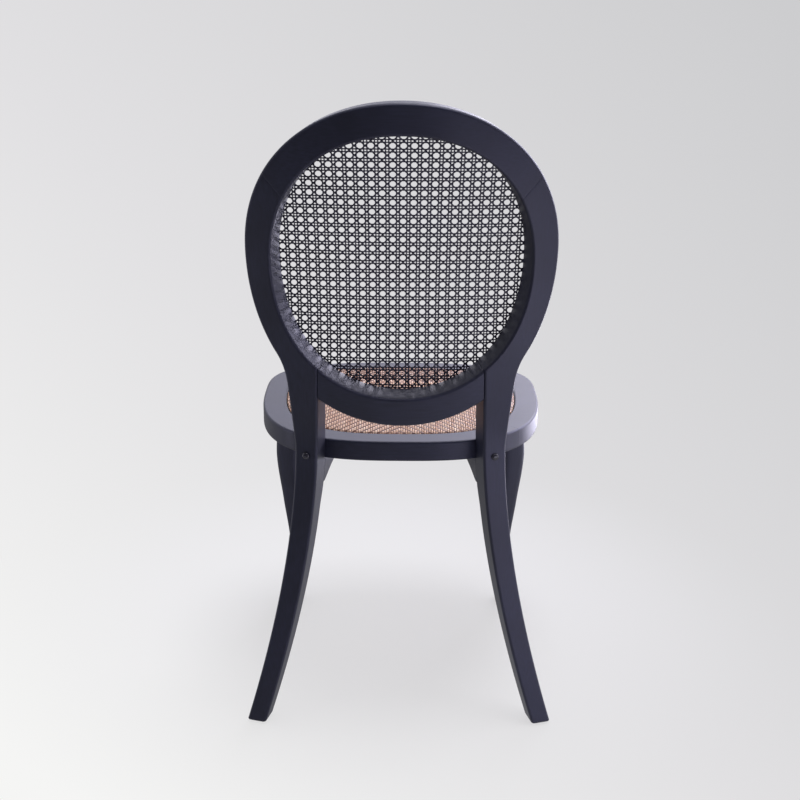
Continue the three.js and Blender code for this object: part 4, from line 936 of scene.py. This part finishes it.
def hard_smooth(name, scale, dark, light, relief, rough, ior):
    """A hard, even surface, baked or moulded: a fine grain shows in its tone and its relief."""
    material, tree = finish_named(name)
    place = add(tree, "ShaderNodeTexCoord")
    specks = add(tree, "ShaderNodeTexNoise", {"Vector": place.outputs["Object"], "Scale": scale,
                                              "Detail": 2.0})
    colour = add(tree, "ShaderNodeValToRGB", {"Fac": specks.outputs[0]})
    colour.color_ramp.elements[0].color = linear(dark)
    colour.color_ramp.elements[1].color = linear(light)
    bump = add(tree, "ShaderNodeBump", {"Height": specks.outputs[0], "Strength": relief,
                                        "Distance": 0.0001})
    shader = add(tree, "ShaderNodeBsdfPrincipled", {
        "Base Color": colour.outputs[0], "Roughness": rough, "IOR": ior, "Normal": bump.outputs[0]})
    close(tree, shader)
    return material


# grain 2.4 mm across and 42 mm long, drawn coarser than beech's own so that it shows
lacquer = black_lacquer_on_beech("black_lacquer_on_upright_beech", (420, 420, 24))
lacquer_level = black_lacquer_on_beech("black_lacquer_on_level_beech", (24, 420, 420))
cane = black_stained_cane()
rattan_warp = natural_rattan_peel("natural_rattan_peel_pale", "#af7d65", "#d2a790", "#efd1be")
# painted shade: the weft is the same natural peel as the warp, drawn darker to stand in for the shade
# between the pale strands
rattan_weft_painted_shade = natural_rattan_peel("natural_rattan_peel_painted_shade", "#44251d", "#633a2f", "#855545")
foam = covered_foam()
# grain 6 mm across and 83 mm long, as on a rotary-cut face
plywood = wood("birch_plywood_sanded", "#a5845a", "#cdae82", (12, 160, 160), 2.0, 0.7)
# grain 2.5 mm across and 17 mm long
beech = wood("beech_dowel_turned", "#b98d60", "#d9b384", (60, 400, 400), 1.0, 0.6)
steel = metal("zinc_plated_steel", ("#85888d", "#a3a6aa"), 0.35)
# baked black enamel on a steel bolt: glossy, a little uneven over 1.7 mm
enamel = hard_smooth("black_enamel_baked_on_steel", 600.0, "#23212d", "#32303e", 0.1, 0.14, 1.5)
# moulded black nylon: matt, with a grain 0.7 mm across
nylon = hard_smooth("black_nylon_moulded", 1500.0, "#17171a", "#232327", 0.2, 0.55, 1.53)


# Pieces

def dress(thing, material, slot, *nodes):
    """Gives a piece its material and body, and hides the CAD nodes that it stands for. The slot is not
    used.
    """
    thing.data.materials.append(material)
    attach(thing, "root")
    if nodes:
        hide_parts(*nodes)
    return thing


paired = (
    ("leg_rear", rear_leg_rings(), lacquer, "black_lacquer", "rear_leg"),
    ("leg_front", front_leg_rings(), lacquer, "black_lacquer", "front_leg"),
    ("gusset", gusset_rings(), lacquer, "black_lacquer", "rear_gusset"),
    ("bolt", bolt_rings(), enamel, "black_bolt", "rear_bolt"),
    ("glide_rear", glide_rings(rear_foot()), nylon, "nylon", "rear_glide"),
    ("glide_front", glide_rings(front_foot()), nylon, "nylon", "front_glide"),
)
for side, mirror in (("left", False), ("right", True)):
    for name, grid, material, slot, node in paired:
        dress(solid(f"{name}_{side}", [grid], mirror), material, slot, f"{node}_{side}")

dress(solid("back_crest", [crest_rail_rings()]), lacquer_level, "black_lacquer", "crest_rail")
dress(solid("back_lower_rail", [back_rail_rings()]), lacquer_level, "black_lacquer", "lower_back_rail")

rear_turn = math.acos((REAR_JOINT_X / SEAT_HALF_WIDTH) ** (SEAT_SQUARENESS / 2))
front_turn = -math.acos((FRONT_JOINT_X / SEAT_HALF_WIDTH) ** (SEAT_SQUARENESS / 2))
for name, start, end in (("rear", rear_turn, math.pi - rear_turn),
                         ("right", math.pi - rear_turn, math.pi - front_turn),
                         ("front", math.pi - front_turn, 2 * math.pi + front_turn),
                         ("left", front_turn, rear_turn)):
    rail = solid(f"ring_{name}", [ring_rail_rings(start, end)])
    dress(rail, lacquer_level, "black_lacquer", f"seat_rail_{name}")

dress(solid("spline_bead", [spline_rings()], looped=True), cane, "black_cane", "cane_spline")
for kind in ("upright", "level", "rising", "falling"):
    dress(solid(f"cane_{kind}", cane_lines(kind), sharp=60), cane, "black_cane", "back_cane")

for kind, peel in (("warp", rattan_warp), ("weft", rattan_weft_painted_shade)):
    dress(solid(f"seat_{kind}", seat_strands(kind), sharp=60), peel, "rattan", "woven_seat")
pad = dress(solid("pad_foam", [pad_rings()]), foam, "foam", "seat_pad")

# the CAD nodes that stay get their finish by a word in their names
kept_finishes = (("seat_board", plywood), ("dowel", beech), ("tongue", beech), ("nut", steel),
                 ("screw", steel))
for name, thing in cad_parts.items():
    for word, material in kept_finishes:
        if word in name:
            thing.data.materials.clear()
            thing.data.materials.append(material)


# Floor, light and camera

def flat_sheet(name, half, z):
    """A flat square."""
    mesh = bpy.data.meshes.new(name)
    corners = [(-half, -half, z), (half, -half, z), (half, half, z), (-half, half, z)]
    mesh.from_pydata(corners, [], [(0, 1, 2, 3)])
    thing = bpy.data.objects.new(name, mesh)
    bpy.context.scene.collection.objects.link(thing)
    return thing


def studio_floor():
    """Pale matt floor that keeps the chair's soft shadow near its feet. The camera and reflections see it
    lifted by a painted glow to a pale grey, whose painted light grows lighter towards the near left."""
    material, tree = finish_named("studio_floor_pale_paint")
    place = add(tree, "ShaderNodeTexCoord")
    parts = add(tree, "ShaderNodeSeparateXYZ", {"Vector": place.outputs["Object"]})
    # nearness is 1 / (1.94 - y) with y in metres, and leftness is x times that
    away = add(tree, "ShaderNodeMath", {0: 1.94, 1: parts.outputs["Y"]}, operation="SUBTRACT")
    held = add(tree, "ShaderNodeMath", {0: away.outputs[0], 1: 1.2}, operation="MAXIMUM")
    near = add(tree, "ShaderNodeMath", {0: 1.0, 1: held.outputs[0]}, operation="DIVIDE")
    left = add(tree, "ShaderNodeMath", {0: parts.outputs["X"], 1: near.outputs[0]}, operation="MULTIPLY")
    wide = add(tree, "ShaderNodeMath", {0: left.outputs[0], 1: 0.775, 2: 0.215}, operation="MULTIPLY_ADD")
    both = add(tree, "ShaderNodeMath", {0: near.outputs[0], 1: 0.825, 2: wide.outputs[0]},
               operation="MULTIPLY_ADD")
    tint = add(tree, "ShaderNodeValToRGB", {"Fac": both.outputs[0]})
    tint.color_ramp.elements[0].color = linear("#cdcdcf")
    tint.color_ramp.elements[1].color = linear("#f5f5f4")
    tint.color_ramp.elements.new(0.5).color = linear("#e1e0e2")
    matt = add(tree, "ShaderNodeBsdfDiffuse", {"Color": linear("#ececee")})
    # painted shade in reflections: the lacquer sees the floor's glow dimmer towards the left and beyond
    # the camera
    side = add(tree, "ShaderNodeMapRange", {"Value": parts.outputs["X"], "From Min": -0.4, "From Max": 0.4,
                                            "To Min": 1.0, "To Max": 0.5})
    far = add(tree, "ShaderNodeMapRange", {"Value": parts.outputs["Y"], "From Min": 0.8, "From Max": 1.75,
                                           "To Min": 1.0, "To Max": 0.1})
    dim = add(tree, "ShaderNodeMath", {0: side.outputs[0], 1: far.outputs[0]}, operation="MULTIPLY")
    path = add(tree, "ShaderNodeLightPath")
    sheen = add(tree, "ShaderNodeMath", {0: path.outputs["Is Glossy Ray"],
                                         1: path.outputs["Is Transmission Ray"]}, operation="MAXIMUM")
    strength = add(tree, "ShaderNodeMix", {"Factor": sheen.outputs[0], "A": 1.0, "B": dim.outputs[0]},
                   data_type="FLOAT")
    lit = add(tree, "ShaderNodeEmission", {"Color": tint.outputs[0], "Strength": strength.outputs[0]})
    # partly matt round the chair's feet, for the shadow, and lifted in full from 0.8 m away
    reach = add(tree, "ShaderNodeVectorMath", {0: place.outputs["Object"], 1: (0.03, -0.2, 0)},
                operation="DISTANCE")
    clear = add(tree, "ShaderNodeMapRange",
                {"Value": reach.outputs["Value"], "From Min": 0.2, "From Max": 0.8, "To Min": 0.67,
                 "To Max": 1.0}, interpolation_type="SMOOTHSTEP")
    view = add(tree, "ShaderNodeMath", {0: path.outputs["Is Camera Ray"], 1: clear.outputs[0]},
               operation="MULTIPLY")
    share = add(tree, "ShaderNodeMath", {0: view.outputs[0], 1: sheen.outputs[0]}, operation="MAXIMUM")
    shader = add(tree, "ShaderNodeMixShader", {"Fac": share.outputs[0], 1: matt.outputs[0],
                                               2: lit.outputs[0]})
    close(tree, shader)
    return material


floor = flat_sheet("studio_floor", FLOOR_HALF, 0.0)
floor.data.materials.append(studio_floor())

world = bpy.data.worlds.new("studio")
bpy.context.scene.world = world
world.use_nodes = True
sky = world.node_tree
sky.nodes.clear()
toward = add(sky, "ShaderNodeTexCoord")
parts = add(sky, "ShaderNodeSeparateXYZ", {"Vector": toward.outputs["Generated"]})
# the studio is pale beyond the chair's front and dim behind its back, where the camera stands
front = add(sky, "ShaderNodeMapRange", {"Value": parts.outputs["Y"], "From Min": 0.75, "From Max": -0.55,
                                        "To Min": 0.16, "To Max": 0.95})
glow = add(sky, "ShaderNodeBackground", {"Color": linear("#f2f2f6"), "Strength": front.outputs[0]})
plain = add(sky, "ShaderNodeBackground", {"Color": linear("#d3d3d6"), "Strength": 1.0})
path = add(sky, "ShaderNodeLightPath")
blend = add(sky, "ShaderNodeMixShader", {"Fac": path.outputs["Is Camera Ray"], 1: glow.outputs[0],
                                         2: plain.outputs[0]})
add(sky, "ShaderNodeOutputWorld", {"Surface": blend.outputs[0]})


def softbox(name, place, aim, width, height, power, tint="#ffffff", sheen_only=False):
    """A rectangular lamp at a place, turned towards an aim, with its sizes in metres and its power in
    watts; one for sheen only adds no light to matt surfaces."""
    lamp = bpy.data.lights.new(name, "AREA")
    lamp.shape = "RECTANGLE"
    lamp.size, lamp.size_y = width, height
    lamp.energy = power
    lamp.color = linear(tint)[:3]
    thing = bpy.data.objects.new(name, lamp)
    thing.location = place
    thing.rotation_euler = (Vector(aim) - Vector(place)).to_track_quat("-Z", "Y").to_euler()
    thing.visible_diffuse = not sheen_only
    bpy.context.scene.collection.objects.link(thing)
    return thing


softbox("key_softbox_right", (-2.6, 1.4, 2.0), (0, 0, 0.5), 1.2, 1.6, 1.5)
softbox("overhead_softbox", (-0.4, -0.05, 3.0), (0, 0, 0.5), 1.1, 1.1, 40)
softbox("front_softbox", (-0.3, -3.4, 1.9), (0, 0, 0.45), 3.4, 1.4, 25, FRONT_TINT)
softbox("front_softbox_right", (-1.3, -3.3, 1.9), (-0.2, 0, 0.45), 1.8, 1.6, 35, FRONT_TINT)
for name, place, aim, width, height, power in (
        ("near_softbox_right", (-0.75, 1.05, 0.05), (-0.1, 0.2, 0.5), 1.0, 0.8, 8.0),
        ("low_softbox_right", (-0.88, -0.9, 0.13), (0, 0, 0.4), 1.0, 0.24, 7.5),
        ("side_softbox_right", (-1.6, -0.8, 1.25), (-0.2, 0, 0.45), 2.0, 1.2, 60),
        ("strip_softbox_right", (-1.3, 0.1, 0.3), (0, 0.1, 0.45), 0.12, 0.6, 3),
        ("strip_softbox_left", (1.2, 0.05, 0.5), (0, 0, 0.5), 0.12, 1.0, 1.5),
        ("arris_softbox", (-0.5, 1.15, 2.9), (0, 0.2, 0.5), 2.2, 0.3, 16)):
    softbox(name, place, aim, width, height, power, SHEEN_TINT, sheen_only=True)

lens = bpy.data.cameras.new("studio_camera")
lens.sensor_width = SENSOR_MM
lens.lens = FOCAL_MM
lens.shift_x = SHIFT_X
lens.clip_end = 1000
camera = bpy.data.objects.new("studio_camera", lens)
camera.location = (0, CAMERA_BEHIND, CAMERA_HEIGHT)
camera.rotation_euler = (Matrix.Rotation(math.pi, 3, "Z") @ Matrix.Rotation(CAMERA_TILT, 3, "X")
                         @ Matrix.Rotation(CAMERA_ROLL, 3, "Z")).to_euler()
bpy.context.scene.collection.objects.link(camera)
bpy.context.scene.camera = camera
bpy.context.scene.view_settings.view_transform = "Standard"
